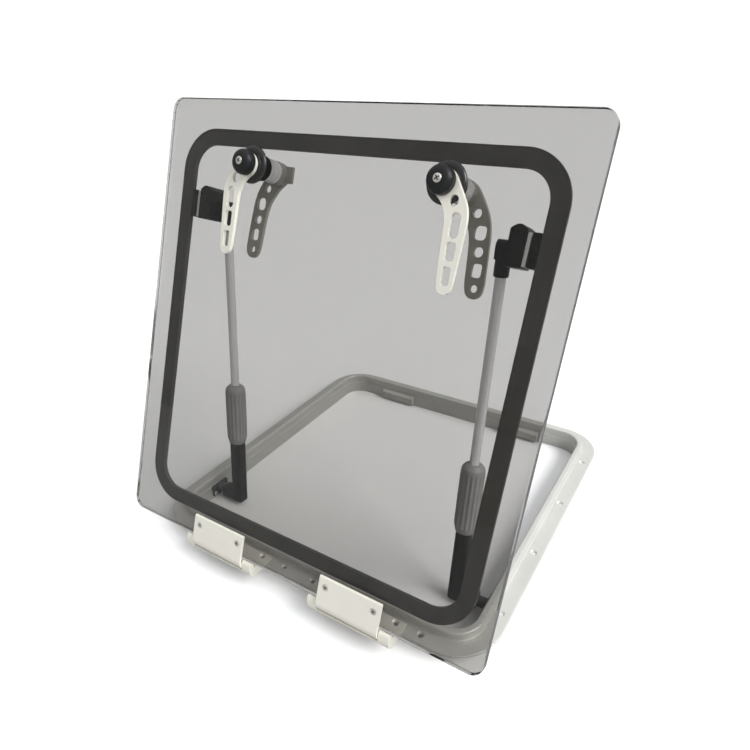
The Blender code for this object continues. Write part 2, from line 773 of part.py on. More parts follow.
def build_upper_bracket(word, side, surface, pin_surface, parent):
    """The arched block glued inside the ring, with its foot and the pivot pin."""
    pivot_y, pivot_z = upper_pivot()
    top = UNDERSIDE_FROM_AXIS - GAP
    low = top - BRACKET_DEPTH
    ring_inner = HALF_X + RIM_THICK + RING_OUTSIDE_RIM - RING_BAND
    foot_out = ring_inner - 0.5 * MM
    foot_in = foot_out - 7.5 * MM
    block_in = BRACKET_FACE_X
    block_out = foot_in - 5.5 * MM
    middle = (block_in + block_out) / 2
    start_y = pivot_y - 18.5 * MM
    end_y = start_y + BRACKET_LENGTH
    half = (block_out - block_in) / 2
    rise = 4.5 * MM
    outline = [(block_in, start_y), (block_out, start_y), (block_out, end_y - rise)]
    for i in range(1, 8):
        part = i / 8
        bulge = math.sin(math.pi * part)
        outline.append((block_out - 2 * half * part, end_y - rise + rise * bulge))
    outline.append((block_in, end_y - rise))
    flip = outline if side > 0 else mirrored_x(outline)
    bracket = prism("upper_bracket_" + word, flip, low, top, surface)
    foot = box(
        "foot",
        (min(side * foot_in, side * foot_out), start_y + 1 * MM, low),
        (max(side * foot_in, side * foot_out), end_y - 6 * MM, top),
    )
    web = box(
        "web",
        (min(side * middle, side * (foot_in + 2 * MM)), start_y + 2 * MM, low),
        (max(side * middle, side * (foot_in + 2 * MM)), end_y - 7 * MM, low + 4.5 * MM),
    )
    bevel(bracket, 0.7 * MM, 1, 50)
    bevel(foot, 0.7 * MM, 1, 50)
    join(bracket, foot, web)
    hole = cylinder("hole", STAY_PIN_RADIUS + RUN_GAP, -30 * MM, 0)
    inward = (-side, 0, 0)
    cut(bracket, aimed(hole, inward, (side * (block_in - 10 * MM), pivot_y, pivot_z)))
    smooth(bracket, 35)
    hang(bracket, parent)
    pin = rounded_pin(
        "upper_pin_" + word, STAY_PIN_RADIUS, -19.6 * MM, -9.9 * MM, 0.4 * MM, SMALL_ROUND, pin_surface
    )
    aimed(pin, inward, (side * (block_in - 10 * MM), pivot_y, pivot_z))
    smooth(pin)
    hang(pin, parent)


def ribbed_sleeve(name, surface):
    """The twist sleeve: long ribs between a plain foot and a chamfered top."""
    steps = RIB_COUNT * 4
    bore = TUBE_RADIUS + RUN_GAP
    length = SLEEVE_LENGTH
    stations = [
        (0, SLEEVE_RADIUS - 2.6 * MM, 0),
        (7 * MM, SLEEVE_RADIUS - 0.9 * MM, 0),
        (9 * MM, SLEEVE_RADIUS, RIB_DEPTH),
        (length - 11 * MM, SLEEVE_RADIUS, RIB_DEPTH),
        (length - 9 * MM, SLEEVE_RADIUS - 0.3 * MM, 0),
        (length - 1.5 * MM, SLEEVE_RADIUS - 4.2 * MM, 0),
        (length, SLEEVE_RADIUS - 6.6 * MM, 0),
        (length, bore, 0),
        (0, bore, 0),
    ]
    bm = bmesh.new()
    rings = []
    for z, radius, rib in stations:
        ring = []
        for i in range(steps):
            angle = 2 * math.pi * i / steps
            here = radius - (rib if i % 4 in (0, 1) else 0)
            ring.append(bm.verts.new((here * math.cos(angle), here * math.sin(angle), z)))
        rings.append(ring)
    for a, b in zip(rings, rings[1:] + rings[:1]):
        for i in range(steps):
            j = (i + 1) % steps
            bm.faces.new((a[i], a[j], b[j], b[i]))
    sleeve = new_object(name, bm, surface)
    smooth(sleeve, 32)
    return sleeve


def build_stay(word, side, paints):
    """A stay about its foot pivot. Local z runs up the stay, x is the pivot axis."""
    axis = empty("stay_" + word, (side * STAY_X, STAY_FOOT_Y, STAY_FOOT_Z), None, -STAY_TILT)
    bore = TUBE_RADIUS + RUN_GAP
    boss_face = HALF_X - STAY_X - 15.4 * MM
    foot_end = boss_face - GAP
    fitting = prism(
        "stay_fitting_" + word,
        rounded_rectangle(FITTING_HALF, FITTING_HALF, 4 * MM, 5),
        FITTING_BOTTOM,
        SLEEVE_BOTTOM - GAP,
        paints["fitting"],
    )
    shoe_low = min(0, side * foot_end)
    shoe_high = max(0, side * foot_end)
    shoe = box(
        "shoe",
        (shoe_low, -FITTING_HALF + 0.6 * MM, FITTING_BOTTOM),
        (shoe_high, FITTING_HALF - 0.6 * MM, 8.4 * MM),
    )
    bevel(fitting, 0.8 * MM, 1, 50)
    bevel(shoe, 0.8 * MM, 1, 50)
    join(fitting, shoe)
    gusset_outline = [(side * 4 * MM, 6 * MM), (side * 14 * MM, 6 * MM), (side * 4 * MM, 20 * MM)]
    if side < 0:
        gusset_outline.reverse()
    gusset = prism("gusset", gusset_outline, -6 * MM, 6 * MM)
    gusset.data.transform(Matrix.Rotation(math.pi / 2, 4, "X"))
    join(fitting, gusset)
    cut(fitting, cylinder("bore", bore, 25 * MM, SLEEVE_BOTTOM + 5 * MM))
    hole = cylinder("hole", STAY_PIN_RADIUS + RUN_GAP, foot_end - 14 * MM, foot_end + 5 * MM, SMALL_ROUND)
    cut(fitting, aimed(hole, (side, 0, 0)))
    smooth(fitting, 35)
    sleeve = ribbed_sleeve("stay_sleeve_" + word, paints["sleeve"])
    moved(sleeve, (0, 0, SLEEVE_BOTTOM))
    tube = turned(
        "stay_tube_" + word,
        [
            (TUBE_RADIUS - 1.2 * MM, TUBE_BOTTOM), (TUBE_RADIUS, TUBE_BOTTOM),
            (TUBE_RADIUS, TUBE_TOP), (TUBE_RADIUS - 1.2 * MM, TUBE_TOP),
        ],
        ROUND,
        paints["tube"],
    )
    smooth(tube)
    eye_y = END_FITTING_RADIUS - 0.8 * MM
    end = turned(
        "stay_end_" + word,
        [
            (bore, TUBE_TOP - 11 * MM), (END_FITTING_RADIUS - 0.7 * MM, TUBE_TOP - 11 * MM),
            (END_FITTING_RADIUS, TUBE_TOP - 10.2 * MM), (END_FITTING_RADIUS, STAY_LENGTH - 4 * MM),
            (END_FITTING_RADIUS - 1 * MM, STAY_LENGTH - 2 * MM), (0, STAY_LENGTH - 2 * MM),
            (0, TUBE_TOP + GAP), (bore, TUBE_TOP + GAP),
        ],
        ROUND,
        paints["fitting"],
    )
    eye_outline = [(-eye_y, STAY_LENGTH - 12 * MM)]
    eye_outline += [(eye_y, STAY_LENGTH - 12 * MM)]
    eye_outline += arc((0, STAY_LENGTH), eye_y, 0, math.pi, 10)
    half_eye = END_FITTING_RADIUS - 0.2 * MM
    eye = across("eye", eye_outline, -half_eye, half_eye)
    join(end, eye)
    pivot = cylinder("pivot", STAY_PIN_RADIUS + RUN_GAP, -20 * MM, 20 * MM, SMALL_ROUND)
    cut(end, aimed(pivot, (1, 0, 0), (0, 0, STAY_LENGTH)))
    smooth(end, 35)
    for piece in (fitting, sleeve, tube, end):
        hang(piece, axis)
    return boss_face, foot_end


def build_foot_bracket(word, side, boss_face, foot_end, paints):
    """The bracket screwed to the side wall that carries the foot pivot."""
    wall = HALF_X - STAY_X - GAP
    plate_in = wall - 3.6 * MM
    outline = rounded_rectangle(15.5 * MM, 9.4 * MM, 3 * MM, 4, (0, -2.6 * MM))
    low, high = sorted((side * plate_in, side * wall))
    bracket = across("foot_bracket_" + word, outline, low, high, paints["bracket"])
    low, high = sorted((side * boss_face, side * (wall - 1 * MM)))
    boss = across("boss", arc((0, 0), 6.9 * MM, 0, 2 * math.pi * 23 / 24, 23), low, high)
    bevel(bracket, 0.6 * MM, 1, 50)
    bevel(boss, 0.6 * MM, 1, 50)
    join(bracket, boss)
    inward = (-side, 0, 0)
    hole = cylinder("hole", STAY_PIN_RADIUS + RUN_GAP, -60 * MM, 60 * MM, SMALL_ROUND)
    cut(bracket, aimed(hole, inward))
    for offset in (-11.4 * MM, 11.4 * MM):
        hole = cylinder("hole", 2.3 * MM, -60 * MM, 60 * MM, SMALL_ROUND)
        cut(bracket, aimed(hole, inward, (0, offset, -6.6 * MM)))
    smooth(bracket, 35)
    bracket.location = (side * STAY_X, STAY_FOOT_Y, STAY_FOOT_Z)
    pin = rounded_pin(
        "foot_pin_" + word, STAY_PIN_RADIUS, -wall + 0.5 * MM, -foot_end + 12 * MM, 0.4 * MM,
        SMALL_ROUND, paints["steel"],
    )
    aimed(pin, inward)
    smooth(pin)
    pin.location = (side * STAY_X, STAY_FOOT_Y, STAY_FOOT_Z)
    for number, offset in enumerate((-11.4 * MM, 11.4 * MM), 1):
        screw = turned(
            f"foot_screw_{word}_{number}",
            [
                (0, -3.4 * MM), (2 * MM, -3.4 * MM), (2 * MM, GAP), (3.9 * MM, GAP),
                (3.9 * MM, 1.4 * MM), (3 * MM, 2.3 * MM), (0, 2.6 * MM),
            ],
            SMALL_ROUND,
            paints["steel"],
        )
        cut(screw, cross_cutter("drive", 2.6 * MM, 2 * MM, 0.8 * MM, 1.1 * MM))
        aimed(screw, inward, (side * plate_in, offset, -6.6 * MM))
        smooth(screw)
        screw.location = (side * STAY_X, STAY_FOOT_Y, STAY_FOOT_Z)


def main():
    for obj in list(bpy.data.objects):
        bpy.data.objects.remove(obj, do_unlink=True)
    paints = {
        "frame": material("painted_aluminium", (0.72, 0.72, 0.68), 0.4),
        "cream": material("cream_metal", (0.76, 0.73, 0.62), 0.35),
        "acrylic": material("smoked_acrylic", (0.35, 0.35, 0.35), 0.05, 0.0, 0.35),
        "ring": material("ring_rubber", (0.045, 0.045, 0.042), 0.5),
        "black": material("black_plastic", (0.02, 0.02, 0.02), 0.4),
        "knob": material("knob_plastic", (0.03, 0.03, 0.032), 0.3),
        "steel": material("screw_steel", (0.62, 0.61, 0.58), 0.3, 1.0),
        "silver": material("satin_aluminium", (0.66, 0.66, 0.66), 0.35, 1.0),
        "grey": material("hub_metal", (0.3, 0.3, 0.28), 0.45, 0.8),
        "inner": material("inner_lever_metal", (0.72, 0.7, 0.62), 0.35),
        "fitting": material("fitting_plastic", (0.012, 0.014, 0.012), 0.4),
        "sleeve": material("sleeve_plastic", (0.2, 0.2, 0.19), 0.5),
        "tube": material("polished_tube", (0.75, 0.75, 0.76), 0.15, 1.0),
        "bracket": material("dark_metal", (0.2, 0.2, 0.2), 0.4, 0.8),
    }
    lid_axis = empty("lid_axis", (0, AXIS_Y, AXIS_Z), None, OPEN_ANGLE)
    build_base_frame(paints["frame"])
    build_lid_panel(paints["acrylic"], lid_axis)
    build_lid_ring(paints["ring"], lid_axis)
    for word, side in (("left", -1), ("right", 1)):
        build_leaf("hinge_leaf_" + word, side, paints["cream"], lid_axis)
        build_hinge_base("hinge_base_" + word, side, paints["cream"])
        build_hinge_pin("hinge_pin_" + word, side, paints["steel"])
        for number, offset in enumerate((-LEAF_SCREW_X, LEAF_SCREW_X), 1):
            screw = countersunk_screw(
                f"leaf_screw_{word}_{number}", 4 * MM, 2 * MM, 11 * MM, paints["steel"]
            )
            at = (
                side * HINGE_X + offset,
                EDGE_FROM_AXIS + LEAF_SCREW_FROM_EDGE,
                DECK_FACE + GAP + LEAF_THICK - 0.05 * MM,
            )
            hang(moved(screw, at), lid_axis)
        build_handle(word, side, paints, lid_axis)
        build_keeper(word, side, paints["frame"], paints["steel"])
        build_upper_bracket(word, side, paints["black"], paints["steel"], lid_axis)
        boss_face, foot_end = build_stay(word, side, paints)
        build_foot_bracket(word, side, boss_face, foot_end, paints)
    for obj in bpy.data.objects:
        if obj.parent is None:
            obj.location.y += ORIGIN_SHIFT
    bpy.context.view_layer.update()


main()
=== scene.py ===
"""Open deck hatch: detailed pieces, their materials, and the light and camera."""

import json
import math

import bmesh
import bpy
from mathutils import Matrix, Vector

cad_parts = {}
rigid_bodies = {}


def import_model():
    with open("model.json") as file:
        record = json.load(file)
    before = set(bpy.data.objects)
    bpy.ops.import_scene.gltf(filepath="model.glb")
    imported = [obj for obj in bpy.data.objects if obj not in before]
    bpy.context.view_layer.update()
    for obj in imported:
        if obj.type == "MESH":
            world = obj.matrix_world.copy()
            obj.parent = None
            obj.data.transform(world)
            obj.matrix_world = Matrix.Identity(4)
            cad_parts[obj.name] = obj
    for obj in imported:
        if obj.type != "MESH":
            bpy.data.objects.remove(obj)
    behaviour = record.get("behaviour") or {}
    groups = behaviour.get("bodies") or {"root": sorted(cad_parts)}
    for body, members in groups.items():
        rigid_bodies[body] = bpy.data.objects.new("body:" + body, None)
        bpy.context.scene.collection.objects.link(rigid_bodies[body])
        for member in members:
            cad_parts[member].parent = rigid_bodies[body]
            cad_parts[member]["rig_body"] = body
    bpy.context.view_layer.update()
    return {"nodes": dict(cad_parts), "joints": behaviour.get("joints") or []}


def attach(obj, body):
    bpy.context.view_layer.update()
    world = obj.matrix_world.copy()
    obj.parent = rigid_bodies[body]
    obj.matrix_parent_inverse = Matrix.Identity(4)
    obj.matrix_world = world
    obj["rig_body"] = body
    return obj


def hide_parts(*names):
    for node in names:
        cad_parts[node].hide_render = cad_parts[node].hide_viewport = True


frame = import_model()

MM = 0.001
joints = {j["name"]: j for j in frame["joints"]}

# ---- the hinge axis and the lid's coordinates ----
AXIS = Vector(joints["lid_hinge"]["pos_m"])
OPEN = -math.radians(joints["lid_hinge"]["range_deg"][0])
LID = Matrix.Translation(AXIS) @ Matrix.Rotation(OPEN, 4, "X")

# ---- frame and lid ----
LID_WIDTH = 524 * MM
LID_LENGTH = 537.5 * MM
LID_THICK = 10 * MM
FLANGE_SIDE = 508 * MM
FLANGE_THICK = 3 * MM
FLANGE_WIDTH = 29.3 * MM
RIM_THICK = 9.3 * MM
RIM_HEIGHT = 14.6 * MM
SPIGOT_THICK = 4 * MM
SPIGOT_DEPTH = 20 * MM
HALF = FLANGE_SIDE / 2 - FLANGE_WIDTH
MIDDLE_Y = FLANGE_SIDE / 2 - (FLANGE_WIDTH - SPIGOT_THICK) / 2
FRAME_CORNER = 30 * MM
HOLE_INSET = 11.8 * MM
NEAR_HOLE = 0.1115    # hole from the side's middle, as a share of the side
FAR_HOLE = 0.3346
LID_CORNER = 15 * MM
RING_WIDTH = 18 * MM
RING_DEPTH = 6.2 * MM
RING_OUTSIDE = 3.5 * MM
RING_CORNER = 48 * MM
EDGE = 6.3 * MM
RING_JOINT = EDGE + 332.4 * MM
UNDER = 0.5 * MM
DECK = UNDER + LID_THICK
GAP = 0.3 * MM
HINGE_X = 100.8 * MM
LEAF_WIDTH = 83.2 * MM
LEAF_THICK = 3 * MM
HINGE_BASE_WIDTH = 112 * MM
HINGE_FIXING_X = 44 * MM
HINGE_FIXING_INSET = 9 * MM
KNUCKLE_RADIUS = 6.2 * MM
BARREL_RADIUS = 5.4 * MM
LEAF_CURL = 12.3 * MM
SCREW_X = 32.4 * MM
SCREW_Y = EDGE + 18 * MM
LEAF_SCREW_LENGTH = 11 * MM
HANDLE_X = 121.5 * MM
HANDLE_Y = EDGE + 467 * MM

# ---- radii of screws, pins and holes, and how far the heads lie below the face ----
SCREW_HEAD = 4 * MM
SCREW_SHANK = 2 * MM
SCREW_SEAT = 4.35 * MM
SCREW_HOLE = 2.4 * MM
FLANGE_HOLE_HEAD = 4.6 * MM
FLANGE_HOLE = 2.6 * MM
PIN_RADIUS = 2.6 * MM
PIN_BORE = 2.9 * MM
PIVOT_BORE = 3.3 * MM
SPINDLE_HOLE = 6.6 * MM
FOOT_HOLE = 2.3 * MM
SCREW_SINK = 0.05 * MM

# ---- handles ----
HANDLE_BORE = 6.3 * MM
DISC_HEIGHT = 4.3 * MM
LEVER_THICK = 4.5 * MM
LEVER_SLOPE = 0.02
KNOB_RADIUS = 13.6 * MM
KNOB_HEIGHT = 13.3 * MM
WASHER_RADIUS = 14 * MM
WASHER_DEPTH = 10.4 * MM
BUSH_RADIUS = 13 * MM
BUSH_DEPTH = 18.7 * MM
HUB_RADIUS = 13.5 * MM
HUB_DEPTH = 12 * MM
INNER_THICK = 4.6 * MM
SPINDLE_RADIUS = 6 * MM

# ---- keepers ----
KEEPER_TOP = -0.4 * MM
KEEPER_BOTTOM = -16.4 * MM
KEEPER_DEPTH = 7.6 * MM
KEEPER_HALF = 33 * MM
KEEPER_SCREW_X = 24 * MM
KEEPER_SCREW_Z = -9.9 * MM
KEEPER_SCREW_LENGTH = 7.2 * MM

# ---- stays ----
STAY_X = 180.5 * MM
BRACKET_DEPTH = 29.7 * MM
BLOCK_OFFSET = 8.6 * MM
BLOCK_BEFORE = 18.5 * MM
BLOCK_LENGTH = 39 * MM
BLOCK_ARCH = 4.5 * MM
HEEL_INSET = 15 * MM
HEEL_WIDTH = 7.5 * MM
HEEL_GAP = 5.5 * MM
SLEEVE_START = 91.3 * MM
SLEEVE_LENGTH = 90 * MM
SLEEVE_RADIUS = 14 * MM
RIB_DEPTH = 1 * MM
TUBE_RADIUS = 5.5 * MM
TUBE_BORE = 5.8 * MM
TUBE_START = 138 * MM
TUBE_END = 401 * MM
EYE_RADIUS = 7.6 * MM
SHAFT_HALF = 8.8 * MM
BOSS_GAP = 15.4 * MM
PLATE_THICK = 3.6 * MM
BOSS_RADIUS = 6.9 * MM
FOOT_SCREW_Y = 11.4 * MM
FOOT_SCREW_Z = -6.6 * MM
STAY_LENGTH = 418.6 * MM
STAY_FOOT = {w: Vector(joints[f"stay_{w}_swing"]["pos_m"]) for w in ("left", "right")}
STAY_AXIS = Vector(joints["stay_left_slide"]["axis"]).normalized()

# ---- steps round a circle ----
FINE = 96
SMALL = 48
PHASE = 0.37    # of a step, so that no corner lies on a plane of symmetry

# ---- acrylic: its colour, mirror reflection, and what its shadow lets through ----
ACRYLIC_IOR = 1.49
ACRYLIC_TINT = (0.385, 0.38, 0.368, 1)
ACRYLIC_SHEEN = (0.3, 0.3, 0.3, 1)
ACRYLIC_SHADE = (0.76, 0.76, 0.755, 1)

# ---- camera and light ----
CAMERA_PLACE = (0.37438, -0.39725, 0.57642)
CAMERA_RIGHT = Vector((0.844952, 0.534285, -0.024421))
CAMERA_UP = Vector((-0.257474, 0.446358, 0.857013))
LENS = 28.346
SENSOR = 36
SHIFT_X = 0.0052
SHIFT_Y = 0.0356
SUN_STRENGTH = 3.3
SUN_ANGLE = math.radians(36)
SUN_TOWARDS = Vector((-0.75, 0.03, -0.66))
FILL_PLACE = (1.7, -1.5, 1.2)
FILL_AIM = Vector((0, 0.1, 0.3))
FILL_SIZE = 1.1
FILL_POWER = 15
FLOOR_HALF = 14
FLOOR_GAP = 0.2 * MM


# ------------------------------------------------------------------ materials

def nodes_of(name):
    made = bpy.data.materials.new(name)
    made.use_nodes = True
    tree = made.node_tree
    return made, tree, tree.nodes["Principled BSDF"]


def link(tree, a, out, b, into):
    tree.links.new(a.outputs[out], b.inputs[into])


def noise(tree, scale, detail, stretch=(1, 1, 1)):
    coords = tree.nodes.new("ShaderNodeTexCoord")
    mapping = tree.nodes.new("ShaderNodeMapping")
    mapping.inputs["Scale"].default_value = stretch
    texture = tree.nodes.new("ShaderNodeTexNoise")
    texture.inputs["Scale"].default_value = scale
    texture.inputs["Detail"].default_value = detail
    link(tree, coords, "Object", mapping, "Vector")
    link(tree, mapping, "Vector", texture, "Vector")
    return texture


def colour_from(tree, texture, low, high, shader):
    ramp = tree.nodes.new("ShaderNodeValToRGB")
    ramp.color_ramp.elements[0].position = 0.3
    ramp.color_ramp.elements[1].position = 0.7
    ramp.color_ramp.elements[0].color = (*low, 1)
    ramp.color_ramp.elements[1].color = (*high, 1)
    link(tree, texture, "Fac", ramp, "Fac")
    link(tree, ramp, "Color", shader, "Base Color")


def value_from(tree, texture, low, high, shader, socket):
    spread = tree.nodes.new("ShaderNodeMapRange")
    spread.inputs["From Min"].default_value = 0.3
    spread.inputs["From Max"].default_value = 0.7
    spread.inputs["To Min"].default_value = low
    spread.inputs["To Max"].default_value = high
    link(tree, texture, "Fac", spread, "Value")
    link(tree, spread, "Result", shader, socket)


def bump_from(tree, texture, strength, distance, shader):
    bump = tree.nodes.new("ShaderNodeBump")
    bump.inputs["Strength"].default_value = strength
    bump.inputs["Distance"].default_value = distance
    link(tree, texture, "Fac", bump, "Height")
    link(tree, bump, "Normal", shader, "Normal")


def finish_of(name, colour, spread, rough, metallic=0.0, grain=900, bump=0.15, depth=0.05 * MM,
              stretch=(1, 1, 1), coat=0.0, specular=0.5):
    """A surface with broad colour variation, uneven roughness and a fine grain."""
    made, tree, shader = nodes_of(name)
    shader.inputs["Metallic"].default_value = metallic
    shader.inputs["Specular IOR Level"].default_value = specular
    shader.inputs["Coat Weight"].default_value = coat
    shader.inputs["Coat Roughness"].default_value = 0.12
    broad = noise(tree, 22, 4)
    low = [c * (1 - spread) for c in colour]
    high = [min(1, c * (1 + spread)) for c in colour]
    colour_from(tree, broad, low, high, shader)
    value_from(tree, noise(tree, 160, 3, stretch), rough * 0.85, rough * 1.15, shader, "Roughness")
    bump_from(tree, noise(tree, grain, 2, stretch), bump, depth, shader)
    return made


def acrylic():
    """Smoked acrylic: glass tinted through its base colour, letting lamp light through."""
    made, tree, shader = nodes_of("smoked_acrylic")
    shader.inputs["Transmission Weight"].default_value = 1.0
    shader.inputs["IOR"].default_value = ACRYLIC_IOR
    shader.inputs["Base Color"].default_value = ACRYLIC_TINT
    shader.inputs["Specular Tint"].default_value = ACRYLIC_SHEEN
    value_from(tree, noise(tree, 40, 2), 0.0, 0.01, shader, "Roughness")
    clear = tree.nodes.new("ShaderNodeBsdfTransparent")
    clear.inputs["Color"].default_value = ACRYLIC_SHADE
    path = tree.nodes.new("ShaderNodeLightPath")
    mix = tree.nodes.new("ShaderNodeMixShader")
    output = tree.nodes["Material Output"]
    link(tree, path, "Is Shadow Ray", mix, "Fac")
    tree.links.new(shader.outputs["BSDF"], mix.inputs[1])
    tree.links.new(clear.outputs["BSDF"], mix.inputs[2])
    link(tree, mix, "Shader", output, "Surface")
    return made


LOOKS = {
    "frame": finish_of("powder_coat", (0.56, 0.557, 0.525), 0.04, 0.32, 0.2, 700, 0.25, coat=0.1),
    "cream": finish_of("satin_paint", (0.79, 0.77, 0.685), 0.04, 0.36, 0.3, 800, 0.22, coat=0.1),
    "acrylic": acrylic(),
    "ring": finish_of("black_ring", (0.085, 0.083, 0.077), 0.12, 0.5, 0.0, 1500, 0.08),
    "black": finish_of("black_moulding", (0.012, 0.012, 0.012), 0.2, 0.3, 0.0, 900, 0.2),
    "knob": finish_of("knob_plastic", (0.011, 0.0115, 0.012), 0.2, 0.4, 0.0, 900, 0.12,
                      specular=0.22),
    "steel": finish_of("screw_steel", (0.72, 0.70, 0.65), 0.06, 0.36, 1.0, 1200, 0.1),
    "silver": finish_of("turned_aluminium", (0.93, 0.93, 0.94), 0.03, 0.32, 0.45, 900, 0.08),
    "grey": finish_of("hub_metal", (0.42, 0.41, 0.38), 0.1, 0.42, 0.6, 700, 0.2),
    # Inner levers: the cream lever paint made darker, painted shade for faces turned from the light
    "inner": finish_of("lever_paint_painted_shade", (0.48, 0.47, 0.42), 0.04, 0.36, 0.35, 800, 0.22, coat=0.1),
    "fitting": finish_of("fitting_moulding", (0.007, 0.009, 0.008), 0.25, 0.38, 0.0, 700, 0.3),
    "sleeve": finish_of("sleeve_moulding", (0.33, 0.33, 0.325), 0.1, 0.42, 0.0, 700, 0.25),
    "tube": finish_of("polished_tube", (0.96, 0.96, 0.98), 0.02, 0.24, 0.45, 400, 0.04,
                      stretch=(10, 10, 1)),
    "bracket": finish_of("dark_metal", (0.10, 0.10, 0.10), 0.1, 0.35, 0.7, 700, 0.2),
}


# ------------------------------------------------------------ shape builders

def new_object(name, bm):
    bmesh.ops.recalc_face_normals(bm, faces=bm.faces)
    mesh = bpy.data.meshes.new(name)
    bm.to_mesh(mesh)
    bm.free()
    obj = bpy.data.objects.new(name, mesh)
    bpy.context.scene.collection.objects.link(obj)
    return obj


def bake(obj):
    """Turns the modifiers into mesh."""
    graph = bpy.context.evaluated_depsgraph_get()
    graph.update()
    mesh = bpy.data.meshes.new_from_object(obj.evaluated_get(graph))
    old = obj.data
    obj.modifiers.clear()
    obj.data = mesh
    bpy.data.meshes.remove(old)
    mesh.name = obj.name


def boolean(obj, other, operation):
    change = obj.modifiers.new(operation.lower(), "BOOLEAN")
    change.operation = operation
    change.solver = "EXACT"
    change.object = other
    bpy.context.view_layer.update()
    bake(obj)
    bpy.data.objects.remove(other)


def cut(obj, *cutters):
    for cutter in cutters:
        boolean(obj, cutter, "DIFFERENCE")


def join(obj, *others):
    for other in others:
        boolean(obj, other, "UNION")


def bevel(obj, width, segments=3, limit=50):
    change = obj.modifiers.new("bevel", "BEVEL")
    change.width = width
    change.segments = segments
    change.limit_method = "ANGLE"
    change.angle_limit = math.radians(limit)
    change.miter_outer = "MITER_ARC"
    change.use_clamp_overlap = True
    bpy.context.view_layer.update()
    bake(obj)


def smooth(obj, angle=38):
    """Smooth shading that keeps edges over the angle sharp and flat faces flat."""
    obj.data.shade_smooth()
    obj.data.set_sharp_from_angle(angle=math.radians(angle))
    change = obj.modifiers.new("normals", "WEIGHTED_NORMAL")
    change.weight = 100
    change.keep_sharp = True
    bpy.context.view_layer.update()
    bake(obj)


def prism(name, outline, low, high):
    """A solid with an (x, y) outline, from low to high along z."""
    bm = bmesh.new()
    bottom = [bm.verts.new((x, y, low)) for x, y in outline]
    top = [bm.verts.new((x, y, high)) for x, y in outline]
    bm.faces.new(bottom)
    bm.faces.new(top)
    for i in range(len(outline)):
        j = (i + 1) % len(outline)
        bm.faces.new((bottom[i], bottom[j], top[j], top[i]))
    return new_object(name, bm)


def across(name, outline, low, high):
    """A solid with a (y, z) outline, from low to high along x."""
    obj = prism(name, outline, low, high)
    turn = Matrix(((0, 0, 1, 0), (1, 0, 0, 0), (0, 1, 0, 0), (0, 0, 0, 1)))
    obj.data.transform(turn)
    return obj


def turned(name, profile, steps=FINE):
    """A solid of revolution about z, from a closed (radius, z) profile."""
    bm = bmesh.new()
    rings = []
    for radius, z in profile:
        if radius == 0:
            rings.append([bm.verts.new((0, 0, z))])
            continue
        ring = []
        for i in range(steps):
            angle = 2 * math.pi * (i + PHASE) / steps
            ring.append(bm.verts.new((radius * math.cos(angle), radius * math.sin(angle), z)))
        rings.append(ring)
    for a, b in zip(rings, rings[1:] + rings[:1]):
        if len(a) == 1 and len(b) == 1:
            continue
        for i in range(steps):
            j = (i + 1) % steps
            corners = [a[i % len(a)], a[j % len(a)], b[j % len(b)], b[i % len(b)]]
            bm.faces.new(list(dict.fromkeys(corners)))
    return new_object(name, bm)


def cylinder(name, radius, low, high, steps=SMALL):
    return turned(name, [(0, low), (radius, low), (radius, high), (0, high)], steps)


def box(name, low, high):
    outline = [(low[0], low[1]), (high[0], low[1]), (high[0], high[1]), (low[0], high[1])]
    return prism(name, outline, low[2], high[2])


def rounded_rectangle(half_x, half_y, radius, steps=12, centre=(0, 0)):
    points = []
    for quarter, (sx, sy) in enumerate(((1, 1), (-1, 1), (-1, -1), (1, -1))):
        for i in range(steps + 1):
            angle = math.pi / 2 * (quarter + i / steps)
            x = sx * (half_x - radius) + radius * math.cos(angle)
            y = sy * (half_y - radius) + radius * math.sin(angle)
            points.append((centre[0] + x, centre[1] + y))
    return points


def swept_ring(name, profile, half, corner, steps=32):
    """A closed (outward offset, z) section swept round a square with rounded corners."""
    bm = bmesh.new()
    loops = []
    for offset, z in profile:
        path = rounded_rectangle(half + offset, half + offset, corner + offset, steps)
        loops.append([bm.verts.new((x, y, z)) for x, y in path])
    count = len(loops[0])
    for a, b in zip(loops, loops[1:] + loops[:1]):
        for i in range(count):
            j = (i + 1) % count
            bm.faces.new((a[i], a[j], b[j], b[i]))
    return new_object(name, bm)


def rounded_profile(points, steps=5):
    """A closed section given as (x, z, corner radius), with its corners rounded."""
    out = []
    count = len(points)
    for k, (x, z, radius) in enumerate(points):
        here = Vector((x, z))
        if radius == 0:
            out.append((x, z))
            continue
        before = Vector(points[k - 1][:2]) - here
        after = Vector(points[(k + 1) % count][:2]) - here
        half_angle = before.angle(after) / 2
        reach = radius / math.tan(half_angle)
        start = here + before.normalized() * reach
        end = here + after.normalized() * reach
        for i in range(steps + 1):
            t = i / steps
            point = start * (1 - t) ** 2 + here * 2 * t * (1 - t) + end * t ** 2
            out.append((point.x, point.y))
    return out


def softened(points, rounds=3):
    """Rounds an outline by cutting its corners again and again."""
    for _ in range(rounds):
        cutting = []
        for (ax, ay), (bx, by) in zip(points, points[1:] + points[:1]):
            cutting.append((0.75 * ax + 0.25 * bx, 0.75 * ay + 0.25 * by))
            cutting.append((0.25 * ax + 0.75 * bx, 0.25 * ay + 0.75 * by))
        points = cutting
    return points


def arc(centre, radius, start, end, steps):
    points = []
    for i in range(steps + 1):
        angle = start + (end - start) * i / steps
        points.append((centre[0] + radius * math.cos(angle), centre[1] + radius * math.sin(angle)))
    return points


def moved(obj, offset):
    obj.data.transform(Matrix.Translation(offset))
    return obj


def aimed(obj, direction, offset=(0, 0, 0)):
    """Turns a piece from z to the direction, then moves it."""
    turn = Vector((0, 0, 1)).rotation_difference(Vector(direction)).to_matrix().to_4x4()
    obj.data.transform(Matrix.Translation(offset) @ turn)
    return obj


